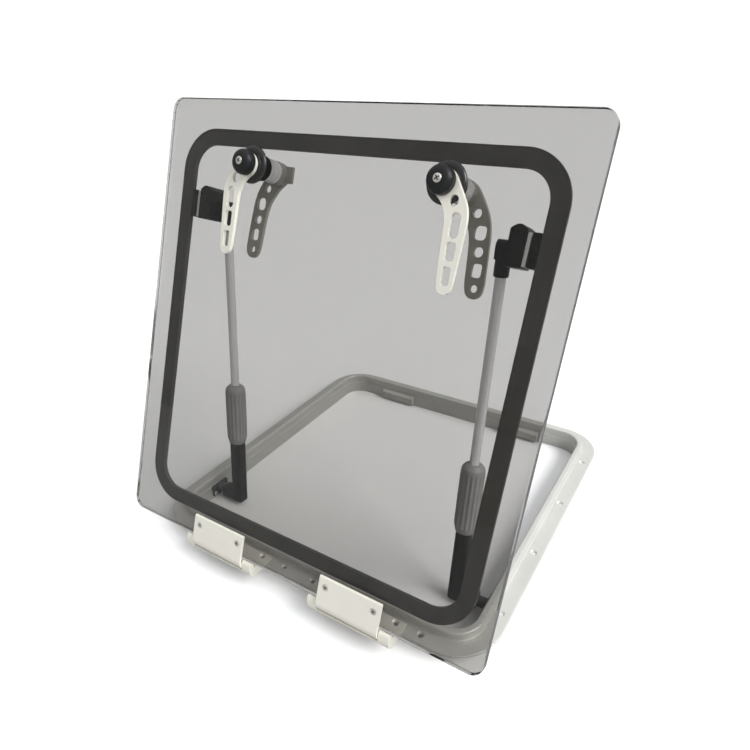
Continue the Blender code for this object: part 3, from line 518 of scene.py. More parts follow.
def cross_cutter(top, reach, width, depth):
    """A cutter for a cross recess."""
    r, w = reach, width / 2
    outline = [
        (r, -w), (r, w), (w, w), (w, r), (-w, r), (-w, w),
        (-r, w), (-r, -w), (-w, -w), (-w, -r), (w, -r), (w, -w),
    ]
    return prism("drive", outline, top - depth, top + depth)


def countersink(head, shank, top, bottom):
    """A cutter for a countersunk through hole."""
    cone = head - shank
    over = 1 * MM
    profile = [
        (0, bottom - over), (shank, bottom - over), (shank, top - cone),
        (head, top), (head, top + over), (0, top + over),
    ]
    return turned("hole", profile, SMALL)


def recess(name, node, place, top, reach, width, depth):
    """A thin black cross at the bottom of a cross recess: painted shade."""
    cross = cross_cutter(0, reach, width, 0.15 * MM)
    cross.name = "painted_shade_" + name
    moved(cross, (0, 0, top - depth + 0.2 * MM))
    added(cross, node, place, "black", 30)


def countersunk_screw(name, head, shank, length):
    cone = head - shank
    profile = [
        (0, -length), (shank * 0.6, -length), (shank, -length + shank * 0.8),
        (shank, -cone), (head, -0.35 * MM), (head, -0.1 * MM), (head - 0.12 * MM, 0), (0, 0),
    ]
    obj = turned(name, profile, SMALL)
    cut(obj, cross_cutter(0, head * 0.62, head * 0.3, 0.9 * MM))
    return obj


def head_recess_shade(name, node, place, head):
    """Painted shade in the recess of a countersunk head with this radius."""
    recess(name, node, place, 0, head * 0.5, head * 0.2, 0.9 * MM)


def added(obj, node, place, slot, angle=38):
    """Puts the piece in place, gives it its finish and lets it ride with the CAD node."""
    obj.data.transform(place)
    obj.data.materials.clear()
    obj.data.materials.append(LOOKS[slot])
    smooth(obj, angle)
    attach(obj, frame["nodes"][node]["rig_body"])


def show(obj, node, place, slot, angle=38):
    """Adds a piece that stands for the CAD node."""
    added(obj, node, place, slot, angle)
    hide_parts(node)


# ------------------------------------------------------------------ base side

BASE = Matrix.Translation((0, MIDDLE_Y, 0))
HINGE_HOLE_Y = -FLANGE_SIDE / 2 + HINGE_FIXING_INSET


def base_frame():
    """Flange with countersunk holes, raised rim, and the wall below the flange."""
    wall, edge = RIM_THICK, FLANGE_WIDTH
    profile = rounded_profile([
        (0, -SPIGOT_DEPTH, 0.5 * MM),
        (SPIGOT_THICK, -SPIGOT_DEPTH, 0.5 * MM),
        (SPIGOT_THICK, 0, 0),
        (edge, 0, 0.4 * MM),
        (edge, FLANGE_THICK, 1.4 * MM),
        (wall, FLANGE_THICK, 1.8 * MM),
        (wall, RIM_HEIGHT, 2.8 * MM),
        (0, RIM_HEIGHT, 2.8 * MM),
        (0, FLANGE_THICK + 0.8 * MM, 0.2 * MM),
        (1 * MM, FLANGE_THICK + 0.2 * MM, 0.2 * MM),
        (1 * MM, FLANGE_THICK - 1.6 * MM, 0.2 * MM),
        (0, FLANGE_THICK - 2.2 * MM, 0.2 * MM),
    ])
    obj = swept_ring("frame_ring", profile, HALF, FRAME_CORNER)
    row = FLANGE_SIDE / 2 - HOLE_INSET
    near, far = FLANGE_SIDE * NEAR_HOLE, FLANGE_SIDE * FAR_HOLE
    spots = []
    for side in (-1, 1):
        for y in (-far, -near, near, far):
            spots.append((side * row, y))
        for x in (near, far):
            spots.append((side * x, row))
        spots.append((side * 22.8 * MM, -row))
        spots.append((side * (HINGE_X + HINGE_BASE_WIDTH / 2 + 19 * MM), -row))
    for x, y in spots:
        cut(obj, moved(countersink(FLANGE_HOLE_HEAD, FLANGE_HOLE, FLANGE_THICK, 0), (x, y, 0)))
    for side in (-1, 1):
        for x in (HINGE_X - HINGE_FIXING_X, HINGE_X + HINGE_FIXING_X):
            hole = cylinder("hole", FLANGE_HOLE, -1 * MM, FLANGE_THICK + 1 * MM)
            cut(obj, moved(hole, (side * x, HINGE_HOLE_Y, 0)))
    show(obj, "base_frame", BASE, "frame", 45)


def knuckle_outline():
    """Side view of the hinge base about the pin, its nose a smooth curve."""
    foot = FLANGE_THICK + GAP - AXIS.z
    plate_top = foot + LEAF_THICK
    end = 34.6 * MM
    points = [
        (end, foot), (end, plate_top - 0.9 * MM), (end - 0.3 * MM, plate_top - 0.25 * MM),
        (end - 0.9 * MM, plate_top), (10.6 * MM, plate_top), (6.6 * MM, -1.5 * MM),
    ]
    points += arc((0, 0), KNUCKLE_RADIUS, math.radians(5), math.radians(126), 30)
    nose = [
        (-5.3, 7.2), (-6.6, 7.0), (-8.9, 4.4), (-10.2, 0.6), (-11.0, -4.2),
        (-10.9, -8.2), (-9.4, -12.2), (-6.4, -15.2), (-2.6, -16.9),
    ]
    dense = []
    for k in range(len(nose) - 1):
        before = Vector(nose[max(k - 1, 0)])
        a, b = Vector(nose[k]), Vector(nose[k + 1])
        after = Vector(nose[min(k + 2, len(nose) - 1)])
        for i in range(4):
            t = i / 4
            point = 0.5 * (
                2 * a + (b - before) * t + (2 * before - 5 * a + 4 * b - after) * t * t
                + (3 * a - before - 3 * b + after) * t ** 3
            )
            dense.append((point.x * MM, point.y * MM))
    points += dense + [(-2.6 * MM, -16.9 * MM), (1.4 * MM, foot)]
    return points


def hinge_base(word, side):
    """A nose at each end, a trough between them for the leaf, and the pin."""
    half = HINGE_BASE_WIDTH / 2
    base = across("hinge_seat_" + word, knuckle_outline(), -half, half)
    bevel(base, 0.35 * MM, 2)
    room = arc((0, 0), 11.9 * MM, math.radians(214), math.radians(250), 12)
    lip = -6.9 * MM
    room = [(-20 * MM, lip), (-9.3 * MM, lip)] + room[1:]
    room += [(8.6 * MM, room[-1][1]), (9.6 * MM, -14 * MM), (14 * MM, 14 * MM), (-20 * MM, 14 * MM)]
    leaf_room = LEAF_WIDTH / 2 + 0.5 * MM
    cut(base, across("room", room, -leaf_room, leaf_room))
    groove = across("groove", [(-14, -12.4), (-9.1, -12.4), (-9.1, -11.4), (-14, -11.4)], -80, 80)
    groove.data.transform(Matrix.Scale(MM, 4))
    cut(base, groove)
    cut(base, aimed(cylinder("bore", PIN_BORE, -70 * MM, 70 * MM), (1, 0, 0)))
    slot = box("slot", (-half - 5 * MM, -0.8 * MM, 0), (half + 5 * MM, 0.8 * MM, 14 * MM))
    slot.data.transform(Matrix.Rotation(math.radians(34), 4, "X"))
    cut(base, slot)
    foot = FLANGE_THICK + GAP - AXIS.z
    for offset in (-HINGE_FIXING_X, HINGE_FIXING_X):
        hole = countersink(FLANGE_HOLE_HEAD, FLANGE_HOLE, foot + LEAF_THICK, foot)
        cut(base, moved(hole, (offset, HINGE_HOLE_Y + MIDDLE_Y - AXIS.y, 0)))
    place = Matrix.Translation((side * HINGE_X, AXIS.y, AXIS.z))
    show(base, "hinge_base_" + word, place, "cream", 30)
    half = half - 0.5 * MM
    radius = PIN_RADIUS
    pin = turned("hinge_rod_" + word, [
        (0, -half), (radius - 0.5 * MM, -half), (radius, -half + 0.5 * MM),
        (radius, half - 0.5 * MM), (radius - 0.5 * MM, half), (0, half),
    ], SMALL)
    show(aimed(pin, (1, 0, 0)), "hinge_pin_" + word, place, "steel")


def leaf_outline():
    """Side view of the leaf about the pin: a plate rolled over the lid's edge."""
    top = DECK + GAP + LEAF_THICK
    curl = LEAF_CURL
    inner = curl - LEAF_THICK
    centre = (2.3 * MM, top - curl)
    barrel = BARREL_RADIUS
    end = math.radians(152)
    reach = EDGE + 30.4 * MM
    points = [
        (reach, DECK + GAP), (reach, top - 1.5 * MM), (reach - 0.3 * MM, top - 0.9 * MM),
        (reach - 0.9 * MM, top - 0.3 * MM), (reach - 1.6 * MM, top),
    ]
    points += arc(centre, curl, math.pi / 2, end, 30)
    points += arc(centre, inner, end, end - 0.02, 1)
    tip = math.atan2(points[-1][1], points[-1][0])
    spread = math.asin(2.2 * MM / barrel / 2)
    points += arc((0, 0), barrel, tip + spread, tip - spread + 2 * math.pi, 48)
    points += arc(centre, inner, end - 0.32, math.pi / 2, 20)
    return points


def hinge_leaf(word, side):
    half = LEAF_WIDTH / 2
    top = DECK + GAP + LEAF_THICK
    leaf = across("leaf_plate_" + word, leaf_outline(), -half, half)
    bevel(leaf, 0.6 * MM, 2)
    cut(leaf, aimed(cylinder("bore", PIN_BORE, -70 * MM, 70 * MM), (1, 0, 0)))
    for offset in (-SCREW_X, SCREW_X):
        cut(leaf, moved(countersink(SCREW_SEAT, SCREW_HOLE, top, DECK), (offset, SCREW_Y, 0)))
    show(leaf, "hinge_leaf_" + word, LID @ Matrix.Translation((side * HINGE_X, 0, 0)), "cream", 30)
    for number, offset in enumerate((-SCREW_X, SCREW_X), 1):
        name = f"leaf_fixing_{word}_{number}"
        node = f"leaf_screw_{word}_{number}"
        screw = countersunk_screw(name, SCREW_HEAD, SCREW_SHANK, LEAF_SCREW_LENGTH)
        spin = Matrix.Rotation(0.5 + number + side, 4, "Z")
        at = Matrix.Translation((side * HINGE_X + offset, SCREW_Y, top - SCREW_SINK))
        show(screw, node, LID @ at @ spin, "steel", 30)
        # painted shade: a black cross in the screw's recess
        head_recess_shade(f"leaf_{word}_{number}", node, LID @ at @ spin, SCREW_HEAD)


def keeper(word, side):
    """Catch block on the far wall, with its two screws."""
    top, bottom, wall = KEEPER_TOP, KEEPER_BOTTOM, HALF - GAP
    profile = rounded_profile([
        (wall, top, 0), (wall - 4.4 * MM, top, 0.8 * MM),
        (wall - KEEPER_DEPTH, top - 3.4 * MM, 0.8 * MM),
        (wall - KEEPER_DEPTH, bottom, 0.8 * MM), (wall, bottom, 0),
    ])
    obj = across("catch_block_" + word, profile, -KEEPER_HALF, KEEPER_HALF)
    bevel(obj, 0.4 * MM, 2)
    height = KEEPER_SCREW_Z
    face = wall - KEEPER_DEPTH
    for offset in (-KEEPER_SCREW_X, KEEPER_SCREW_X):
        hole = countersink(SCREW_SEAT, SCREW_HOLE, 0, -12 * MM)
        cut(obj, aimed(hole, (0, -1, 0), (offset, face, height)))
    place = BASE @ Matrix.Translation((side * HANDLE_X, 0, 0))
    show(obj, "keeper_" + word, place, "frame", 30)
    for number, offset in enumerate((-KEEPER_SCREW_X, KEEPER_SCREW_X), 1):
        name = f"catch_fixing_{word}_{number}"
        screw = countersunk_screw(name, SCREW_HEAD, SCREW_SHANK, KEEPER_SCREW_LENGTH)
        aimed(screw, (0, -1, 0), (offset, face - SCREW_SINK, height))
        show(screw, f"keeper_screw_{word}_{number}", place, "steel", 30)


# ------------------------------------------------------------------ lid side

def lid_panel():
    centre = (0, EDGE + LID_LENGTH / 2)
    outline = rounded_rectangle(LID_WIDTH / 2, LID_LENGTH / 2, LID_CORNER, 24, centre)
    panel = prism("acrylic_sheet", outline, UNDER, DECK)
    bevel(panel, 1.1 * MM, 4)
    for side in (-1, 1):
        bore = cylinder("bore", SPINDLE_HOLE, -5 * MM, 20 * MM)
        cut(panel, moved(bore, (side * HANDLE_X, HANDLE_Y, 0)))
        for offset in (-SCREW_X, SCREW_X):
            bore = cylinder("bore", SCREW_HOLE, -5 * MM, 20 * MM)
            cut(panel, moved(bore, (side * HINGE_X + offset, SCREW_Y, 0)))
    for face in panel.data.polygons:
        face.use_smooth = False
    show(panel, "lid_panel", LID, "acrylic", 1)


def lid_ring():
    """Ring under the acrylic, with a fine slit where its ends meet."""
    top = UNDER - GAP
    bottom = top - RING_DEPTH
    profile = rounded_profile([
        (-RING_WIDTH, top, 0.3 * MM), (-RING_WIDTH, bottom, 1.8 * MM),
        (0, bottom, 1.8 * MM), (0, top, 0.3 * MM),
    ])
    ring = swept_ring("seal_ring", profile, HALF + RIM_THICK + RING_OUTSIDE, RING_CORNER)
    moved(ring, (0, MIDDLE_Y - AXIS.y, 0))
    slit = box(
        "joint",
        (200 * MM, RING_JOINT - 0.4 * MM, top - 0.7 * MM),
        (260 * MM, RING_JOINT + 0.4 * MM, 10 * MM),
    )
    cut(ring, slit)
    show(ring, "lid_ring", LID, "ring", 45)


# Levers of the right handle, in mm from its axis: corners of the outline before
# rounding, and holes as centre, half sizes and corner radius.
OUTER_LEVER = [
    (-9, 9), (0, 13), (9, 10.5), (14, 4), (21, -7), (28.5, -19), (31.2, -31), (30.8, -46),
    (30, -62), (29, -80), (28.6, -92), (27, -99.5), (20.4, -102.6), (13.6, -99.5),
    (11.8, -92), (11, -80), (10, -62), (9.4, -46), (8.6, -34), (5.4, -24), (-1, -15.5),
    (-9.5, -10), (-13, 0),
]
OUTER_HOLES = [
    (14.6, -16.2, 4.6, 5.4, 4.4),
    (19.9, -38, 5.2, 12, 5.1),
    (20.2, -61.7, 5.1, 8.8, 3.4),
    (20.4, -84.6, 4.3, 9, 2.6),
]
INNER_LEVER = [
    (-9, 9.5), (0, 13.5), (9, 11), (15, 4), (24, -9), (31, -22), (34.4, -36), (36, -55),
    (37.6, -75), (38.8, -90), (36.5, -99), (28.6, -103), (20.5, -99.5), (17.4, -90),
    (16, -75), (14.4, -55), (11.6, -38), (5.5, -26), (-2, -15.5), (-9.5, -10), (-13, 0),
]
INNER_HOLES = [
    (16.1, -17.5, 4.7, 4.7, 4.6),
    (23.4, -36, 6.5, 7.2, 4.5),
    (25.3, -54.8, 5.2, 5.2, 5.1),
    (27.4, -73.2, 5.5, 7, 3.2),
    (28.2, -91.4, 4, 4, 3.9),
]


def lever(name, outline, holes, low, high, slope, side):
    points = [(side * x * MM, y * MM) for x, y in softened(outline)]
    obj = prism(name, points, low, high)
    for x, y, half_x, half_y, corner in holes:
        hole = rounded_rectangle(half_x * MM, half_y * MM, corner * MM, 10, (side * x * MM, y * MM))
        cut(obj, prism("hole", hole, -60 * MM, 60 * MM))
    bevel(obj, 0.45 * MM, 3)
    cut(obj, cylinder("bore", HANDLE_BORE, -80 * MM, 80 * MM))
    lean = Matrix.Identity(4)
    lean[2][1] = slope
    obj.data.transform(lean)
    return obj


def handle(word, side):
    """One handle, from the knob outside to the inner lever inside."""
    place = LID @ Matrix.Translation((side * HANDLE_X, HANDLE_Y, DECK))
    bore = HANDLE_BORE
    disc_top = GAP + DISC_HEIGHT
    disc = turned("disc_" + word, [
        (x * MM, z * MM) for x, z in (
            (6.3, 0.3), (20.2, 0.3), (20.5, 0.6), (20.5, 2.2), (20.3, 2.9), (19.7, 3.6),
            (18.7, 4.2), (17.5, 4.6), (15, 4.6), (14.6, 4.2), (14.2, 4.6), (6.3, 4.6),
        )
    ])
    show(disc, "handle_disc_" + word, place, "black")
    lever_low = disc_top + 1 * MM
    lever_high = lever_low + LEVER_THICK
    outer = lever(
        "grip_" + word, OUTER_LEVER, OUTER_HOLES, lever_low, lever_high, LEVER_SLOPE, side,
    )
    show(outer, "handle_lever_" + word, place, "cream", 40)
    low = lever_high + 0.6 * MM
    high = low + KNOB_HEIGHT
    seat = high - 2 * MM
    profile = [(0, low), (12.8 * MM, low), (13.4 * MM, low + 0.3 * MM)]
    profile += [(KNOB_RADIUS, low + 0.9 * MM), (KNOB_RADIUS, low + 6 * MM)]
    for i in range(1, 13):
        angle = math.pi / 2 * i / 12
        profile.append((
            4.9 * MM + 8.7 * MM * math.cos(angle) ** 0.9,
            low + 6 * MM + 7.3 * MM * math.sin(angle),
        ))
    profile += [
        (4.6 * MM, high - 0.25 * MM), (4.6 * MM, seat), (2.5 * MM, seat),
        (2.5 * MM, low + 3 * MM), (0, low + 3 * MM),
    ]
    show(turned("cap_" + word, profile), "knob_" + word, place, "knob")
    screw = turned("cap_fixing_" + word, [
        (0, low + 4 * MM), (2.2 * MM, low + 4 * MM), (2.2 * MM, seat + GAP),
        (4.2 * MM, seat + GAP), (4.3 * MM, seat + 0.5 * MM), (4.3 * MM, high - 0.2 * MM),
        (4.0 * MM, high + 0.2 * MM), (3.2 * MM, high + 0.55 * MM), (1.6 * MM, high + 0.75 * MM),
        (0, high + 0.8 * MM),
    ], SMALL)
    crown = high + 0.8 * MM
    cut(screw, cross_cutter(crown, 2.8 * MM, 1.3 * MM, 1.3 * MM))
    spin = Matrix.Rotation(0.6 * side, 4, "Z")
    node = "knob_screw_" + word
    show(screw, node, place @ spin, "steel", 30)
    # painted shade: a black cross in the cap screw's recess
    recess("knob_" + word, node, place @ spin, crown, 2.7 * MM, 1.2 * MM, 1.3 * MM)
    washer_top = -LID_THICK - GAP
    washer_low = washer_top - WASHER_DEPTH
    waist = 13.4 * MM
    profile = [(bore, washer_low), (waist, washer_low), (WASHER_RADIUS, washer_low + 0.6 * MM)]
    for rise in (2.4, 5.0, 7.6):
        profile += [
            (WASHER_RADIUS, washer_low + (rise - 0.5) * MM),
            (waist, washer_low + (rise - 0.2) * MM),
            (waist, washer_low + (rise + 0.2) * MM),
            (WASHER_RADIUS, washer_low + (rise + 0.5) * MM),
        ]
    profile += [(WASHER_RADIUS, washer_top - 0.6 * MM), (waist, washer_top), (bore, washer_top)]
    show(turned("spacer_" + word, profile), "handle_washer_" + word, place, "black", 30)
    top = washer_low - GAP
    bottom = top - BUSH_DEPTH
    profile = [(bore, bottom), (12.4 * MM, bottom), (BUSH_RADIUS, bottom + 0.6 * MM)]
    for rise in (6.2, 12.5):
        profile += [
            (BUSH_RADIUS, bottom + rise * MM), (12.2 * MM, bottom + (rise + 0.4) * MM),
            (12.2 * MM, bottom + (rise + 0.9) * MM), (BUSH_RADIUS, bottom + (rise + 1.3) * MM),
        ]
    profile += [(BUSH_RADIUS, top - 0.6 * MM), (12.4 * MM, top), (bore, top)]
    show(turned("collar_" + word, profile), "handle_bush_" + word, place, "silver", 30)
    hub_top = bottom - GAP
    hub_low = hub_top - HUB_DEPTH
    hub = turned("hub_" + word, [
        (0, hub_low), (12.9 * MM, hub_low), (HUB_RADIUS, hub_low + 0.6 * MM),
        (HUB_RADIUS, hub_top - 0.6 * MM), (12.9 * MM, hub_top), (0, hub_top),
    ])
    inboard = sorted((0, -side * 22 * MM))
    tongue = box(
        "tongue", (inboard[0], -9.5 * MM, hub_low), (inboard[1], 9.5 * MM, hub_low + 3.8 * MM),
    )
    bevel(tongue, 0.8 * MM, 3)
    join(hub, tongue)
    cut(hub, cylinder("bore", bore, hub_low - 5 * MM, hub_top + 5 * MM))
    show(hub, "handle_hub_" + word, place, "grey", 32)
    inner_high = hub_low - GAP
    inner_low = inner_high - INNER_THICK
    inner = lever("inner_grip_" + word, INNER_LEVER, INNER_HOLES, inner_low, inner_high, 0, side)
    # the inner lever takes the darker copy of the lever paint: painted shade
    show(inner, "inner_lever_" + word, place, "inner", 40)
    end, head = inner_low - 0.8 * MM, low - GAP
    rod = turned("rod_" + word, [
        (0, end), (5.2 * MM, end), (5.8 * MM, end + 0.2 * MM), (SPINDLE_RADIUS, end + 0.8 * MM),
        (SPINDLE_RADIUS, head - 0.8 * MM), (5.2 * MM, head), (0, head),
    ], SMALL)
    show(rod, "spindle_" + word, place, "silver")


def upper_bracket(word, side):
    """Arched block inside the ring, its heel, the strip in the gap, and the pin."""
    foot = STAY_FOOT[word]
    pivot = LID.inverted() @ (foot + STAY_AXIS * STAY_LENGTH)
    top = UNDER - GAP
    low = top - BRACKET_DEPTH
    block_in = STAY_X + BLOCK_OFFSET
    foot_out = HALF + RIM_THICK - HEEL_INSET
    foot_in = foot_out - HEEL_WIDTH
    block_out = foot_in - HEEL_GAP
    start = pivot.y - BLOCK_BEFORE
    end = start + BLOCK_LENGTH
    rise = BLOCK_ARCH
    width = block_out - block_in
    outline = [(block_in, start), (block_out, start), (block_out, end - rise)]
    for i in range(1, 24):
        part = i / 24
        outline.append((block_out - width * part, end - rise + rise * math.sin(math.pi * part)))
    outline.append((block_in, end - rise))
    block = prism("stay_block_" + word, [(side * x, y) for x, y in outline], low, top)
    bevel(block, 0.7 * MM, 3, 60)
    heel = box(
        "heel",
        (min(side * foot_in, side * foot_out), start + 1 * MM, low),
        (max(side * foot_in, side * foot_out), end - 6 * MM, top),
    )
    bevel(heel, 0.7 * MM, 3, 60)
    middle = (block_in + block_out) / 2
    web = box(
        "web",
        (min(side * middle, side * (foot_in + 2 * MM)), start + 2 * MM, low),
        (max(side * middle, side * (foot_in + 2 * MM)), end - 7 * MM, low + 4.5 * MM),
    )
    join(block, heel, web)
    strip_in, strip_out = side * (block_out + 0.4 * MM), side * (foot_in - 1.6 * MM)
    strip_start, strip_end = start + 1.5 * MM, end - 6.5 * MM
    strip = prism("gap_strip_" + word, [
        (strip_in, strip_start), (strip_out, strip_start),
        (strip_out, strip_end), (strip_in, strip_end),
    ], top - 22 * MM, top - 0.6 * MM)
    bevel(strip, 0.3 * MM, 2)
    added(strip, "upper_bracket_" + word, LID, "silver")
    inward = (-side, 0, 0)
    at = (side * (block_in - 10 * MM), pivot.y, pivot.z)
    cut(block, aimed(cylinder("hole", PIVOT_BORE, -30 * MM, 0), inward, at))
    show(block, "upper_bracket_" + word, LID, "black", 35)
    pin = turned("block_pin_" + word, [
        (0, -19.6 * MM), (2.6 * MM, -19.6 * MM), (3 * MM, -19.2 * MM),
        (3 * MM, -10.3 * MM), (2.6 * MM, -9.9 * MM), (0, -9.9 * MM),
    ], SMALL)
    show(aimed(pin, inward, at), "upper_pin_" + word, LID, "steel")


# ------------------------------------------------------------------ stays

def ribbed_sleeve(word, place):
    """The locking sleeve, with ribs that fade out before its ends."""
    ribs, per_rib = 16, 8
    steps = ribs * per_rib
    length, radius, bore = SLEEVE_LENGTH, SLEEVE_RADIUS, TUBE_BORE
    stations = [
        (0, radius - 3.0 * MM, 0), (0.4 * MM, radius - 2.6 * MM, 0), (4 * MM, radius - 1.6 * MM, 0),
        (7 * MM, radius - 0.9 * MM, 0), (8 * MM, radius - 0.5 * MM, 0.3), (9.5 * MM, radius, 1),
        (length - 12 * MM, radius, 1), (length - 10.6 * MM, radius - 0.2 * MM, 0.4),
        (length - 9.6 * MM, radius - 0.35 * MM, 0), (length - 5.5 * MM, radius - 0.9 * MM, 0),
        (length - 4.2 * MM, radius - 1.7 * MM, 0), (length - 1.5 * MM, radius - 4.2 * MM, 0),
        (length - 0.4 * MM, radius - 5.6 * MM, 0), (length, radius - 6.6 * MM, 0),
        (length, bore, 0), (0, bore, 0),
    ]
    bm = bmesh.new()
    rings = []
    for z, outer, depth in stations:
        ring = []
        for i in range(steps):
            angle = 2 * math.pi * i / steps
            wave = 0.5 - 0.5 * math.cos(2 * math.pi * (i % per_rib) / per_rib)
            here = outer - depth * RIB_DEPTH * wave ** 0.6
            ring.append(bm.verts.new((here * math.cos(angle), here * math.sin(angle), z)))
        rings.append(ring)
    for a, b in zip(rings, rings[1:] + rings[:1]):
        for i in range(steps):
            j = (i + 1) % steps
            bm.faces.new((a[i], a[j], b[j], b[i]))
    sleeve = new_object("twist_grip_" + word, bm)
    moved(sleeve, (0, 0, SLEEVE_START))
    show(sleeve, "stay_sleeve_" + word, place, "sleeve", 50)


def stay(word, side):
    """One telescopic stay, from the fitting at its foot to the eye at its top."""
    tilt = math.atan2(STAY_AXIS.y, STAY_AXIS.z)
    place = Matrix.Translation(STAY_FOOT[word]) @ Matrix.Rotation(-tilt, 4, "X")
    half = SHAFT_HALF
    boss_face = HALF - STAY_X - BOSS_GAP
    foot_end = boss_face - GAP
    body = prism("stay_shaft_" + word, rounded_rectangle(half, half, 4 * MM, 10), -8 * MM, 91 * MM)
    bevel(body, 0.8 * MM, 3)
    shoe = box(
        "shoe",
        (min(0, side * foot_end), -half + 0.6 * MM, -8 * MM),
        (max(0, side * foot_end), half - 0.6 * MM, 8.4 * MM),
    )
    bevel(shoe, 0.8 * MM, 3)
    outline = [(side * 4 * MM, 6 * MM), (side * 14 * MM, 6 * MM), (side * 4 * MM, 20 * MM)]
    if side < 0:
        outline.reverse()
    gusset = prism("gusset", outline, -6 * MM, 6 * MM)
    gusset.data.transform(Matrix.Rotation(math.pi / 2, 4, "X"))
    join(body, shoe, gusset)
    cut(body, cylinder("bore", TUBE_BORE, 25 * MM, 96 * MM))
    hole = cylinder("hole", PIVOT_BORE, foot_end - 14 * MM, foot_end + 5 * MM)
    cut(body, aimed(hole, (side, 0, 0)))
    show(body, "stay_fitting_" + word, place, "fitting", 35)
    ribbed_sleeve(word, place)
    radius, low, high = TUBE_RADIUS, TUBE_START, TUBE_END
    tube = turned("stay_rod_" + word, [
        (radius - 1.2 * MM, low), (radius - 0.2 * MM, low), (radius, low + 0.2 * MM),
        (radius, high), (radius - 1.2 * MM, high),
    ])
    show(tube, "stay_tube_" + word, place, "tube")
    outer, length = EYE_RADIUS, STAY_LENGTH
    end = turned("stay_eye_" + word, [
        (TUBE_BORE, high - 11 * MM), (outer - 0.9 * MM, high - 11 * MM),
        (outer - 0.25 * MM, high - 10.7 * MM), (outer, high - 10 * MM),
        (outer, length - 4 * MM), (outer - 0.4 * MM, length - 2.6 * MM),
        (outer - 1 * MM, length - 2 * MM), (0, length - 2 * MM),
        (0, high + GAP), (TUBE_BORE, high + GAP),
    ])
    eye_y = outer - 0.8 * MM
    outline = [(-eye_y, length - 12 * MM), (eye_y, length - 12 * MM)]
    outline += arc((0, length), eye_y, 0, math.pi, 32)
    eye = across("eye", outline, -outer + 0.2 * MM, outer - 0.2 * MM)
    bevel(eye, 0.5 * MM, 2)
    join(end, eye)
    cut(end, aimed(cylinder("pivot", PIVOT_BORE, -20 * MM, 20 * MM), (1, 0, 0), (0, 0, length)))
    show(end, "stay_end_" + word, place, "fitting", 35)
    foot_bracket(word, side, boss_face, foot_end)


def foot_bracket(word, side, boss_face, foot_end):
    """Plate and boss on the side wall, with the pin and two screws."""
    place = Matrix.Translation(STAY_FOOT[word])
    wall = HALF - STAY_X - GAP
    plate_in = wall - PLATE_THICK
    outline = rounded_rectangle(15.5 * MM, 9.4 * MM, 3 * MM, 10, (0, -2.6 * MM))
    plate = across("wall_plate_" + word, outline, *sorted((side * plate_in, side * wall)))
    bevel(plate, 0.6 * MM, 3)
    ends = sorted((side * boss_face, side * (wall - 1 * MM)))
    boss = across("boss", arc((0, 0), BOSS_RADIUS, 0, 2 * math.pi * 47 / 48, 47), *ends)
    bevel(boss, 0.6 * MM, 3)
    join(plate, boss)
    inward = (-side, 0, 0)
    cut(plate, aimed(cylinder("hole", PIVOT_BORE, -60 * MM, 60 * MM), inward))
    for offset in (-FOOT_SCREW_Y, FOOT_SCREW_Y):
        hole = cylinder("hole", FOOT_HOLE, -60 * MM, 60 * MM)
        cut(plate, aimed(hole, inward, (0, offset, FOOT_SCREW_Z)))
    show(plate, "foot_bracket_" + word, place, "bracket", 35)
    low, high = -wall + 0.5 * MM, -foot_end + 12 * MM
    pin = turned("foot_rod_" + word, [
        (0, low), (2.6 * MM, low), (3 * MM, low + 0.4 * MM),
        (3 * MM, high - 0.4 * MM), (2.6 * MM, high), (0, high),
    ], SMALL)
    show(aimed(pin, inward), "foot_pin_" + word, place, "steel")
    for number, offset in enumerate((-FOOT_SCREW_Y, FOOT_SCREW_Y), 1):
        screw = turned(f"wall_fixing_{word}_{number}", [
            (0, -3.4 * MM), (2 * MM, -3.4 * MM), (2 * MM, GAP), (3.8 * MM, GAP),
            (3.9 * MM, 0.5 * MM), (3.9 * MM, 1.2 * MM), (3.6 * MM, 1.8 * MM),
            (3 * MM, 2.2 * MM), (1.8 * MM, 2.5 * MM), (0, 2.6 * MM),
        ], SMALL)
        cut(screw, cross_cutter(2.6 * MM, 2 * MM, 0.8 * MM, 1.3 * MM))
        aimed(screw, inward, (side * plate_in, offset, FOOT_SCREW_Z))
        show(screw, f"foot_screw_{word}_{number}", place, "steel", 30)


# ------------------------------------------------------------------ setting

def floor_and_light():
    bm = bmesh.new()
    bmesh.ops.create_grid(bm, x_segments=1, y_segments=1, size=FLOOR_HALF)
    floor = new_object("floor", bm)
    floor.location = (0, 0, -SPIGOT_DEPTH - FLOOR_GAP)
    made, tree, shader = nodes_of("floor_paper")
    colour_from(tree, noise(tree, 3, 2), (0.945, 0.945, 0.945), (0.955, 0.955, 0.955), shader)
    shader.inputs["Roughness"].default_value = 0.9
    shader.inputs["Specular IOR Level"].default_value = 0.1
    dim = tree.nodes.new("ShaderNodeBsdfDiffuse")
    dim.inputs["Color"].default_value = (0.42, 0.42, 0.42, 1)
    mix = tree.nodes.new("ShaderNodeMixShader")
    link(tree, seen_straight(tree), "Value", mix, "Fac")
    tree.links.new(dim.outputs["BSDF"], mix.inputs[1])
    tree.links.new(shader.outputs["BSDF"], mix.inputs[2])
    link(tree, mix, "Shader", tree.nodes["Material Output"], "Surface")
    floor.data.materials.append(made)
    studio()
    lamp = bpy.data.lights.new("lamp_key", "SUN")
    lamp.energy = SUN_STRENGTH
    lamp.angle = SUN_ANGLE
    obj = bpy.data.objects.new("lamp_key", lamp)
    obj.rotation_euler = SUN_TOWARDS.to_track_quat("-Z", "Y").to_euler()
    bpy.context.scene.collection.objects.link(obj)
    fill = bpy.data.lights.new("lamp_fill", "AREA")
    fill.shape = "DISK"
    fill.size = FILL_SIZE
    fill.energy = FILL_POWER
    obj = bpy.data.objects.new("lamp_fill", fill)
    obj.visible_glossy = False
    obj.location = FILL_PLACE
    obj.rotation_euler = (FILL_AIM - obj.location).to_track_quat("-Z", "Y").to_euler()
    bpy.context.scene.collection.objects.link(obj)
    bpy.context.scene.view_settings.view_transform = "Standard"


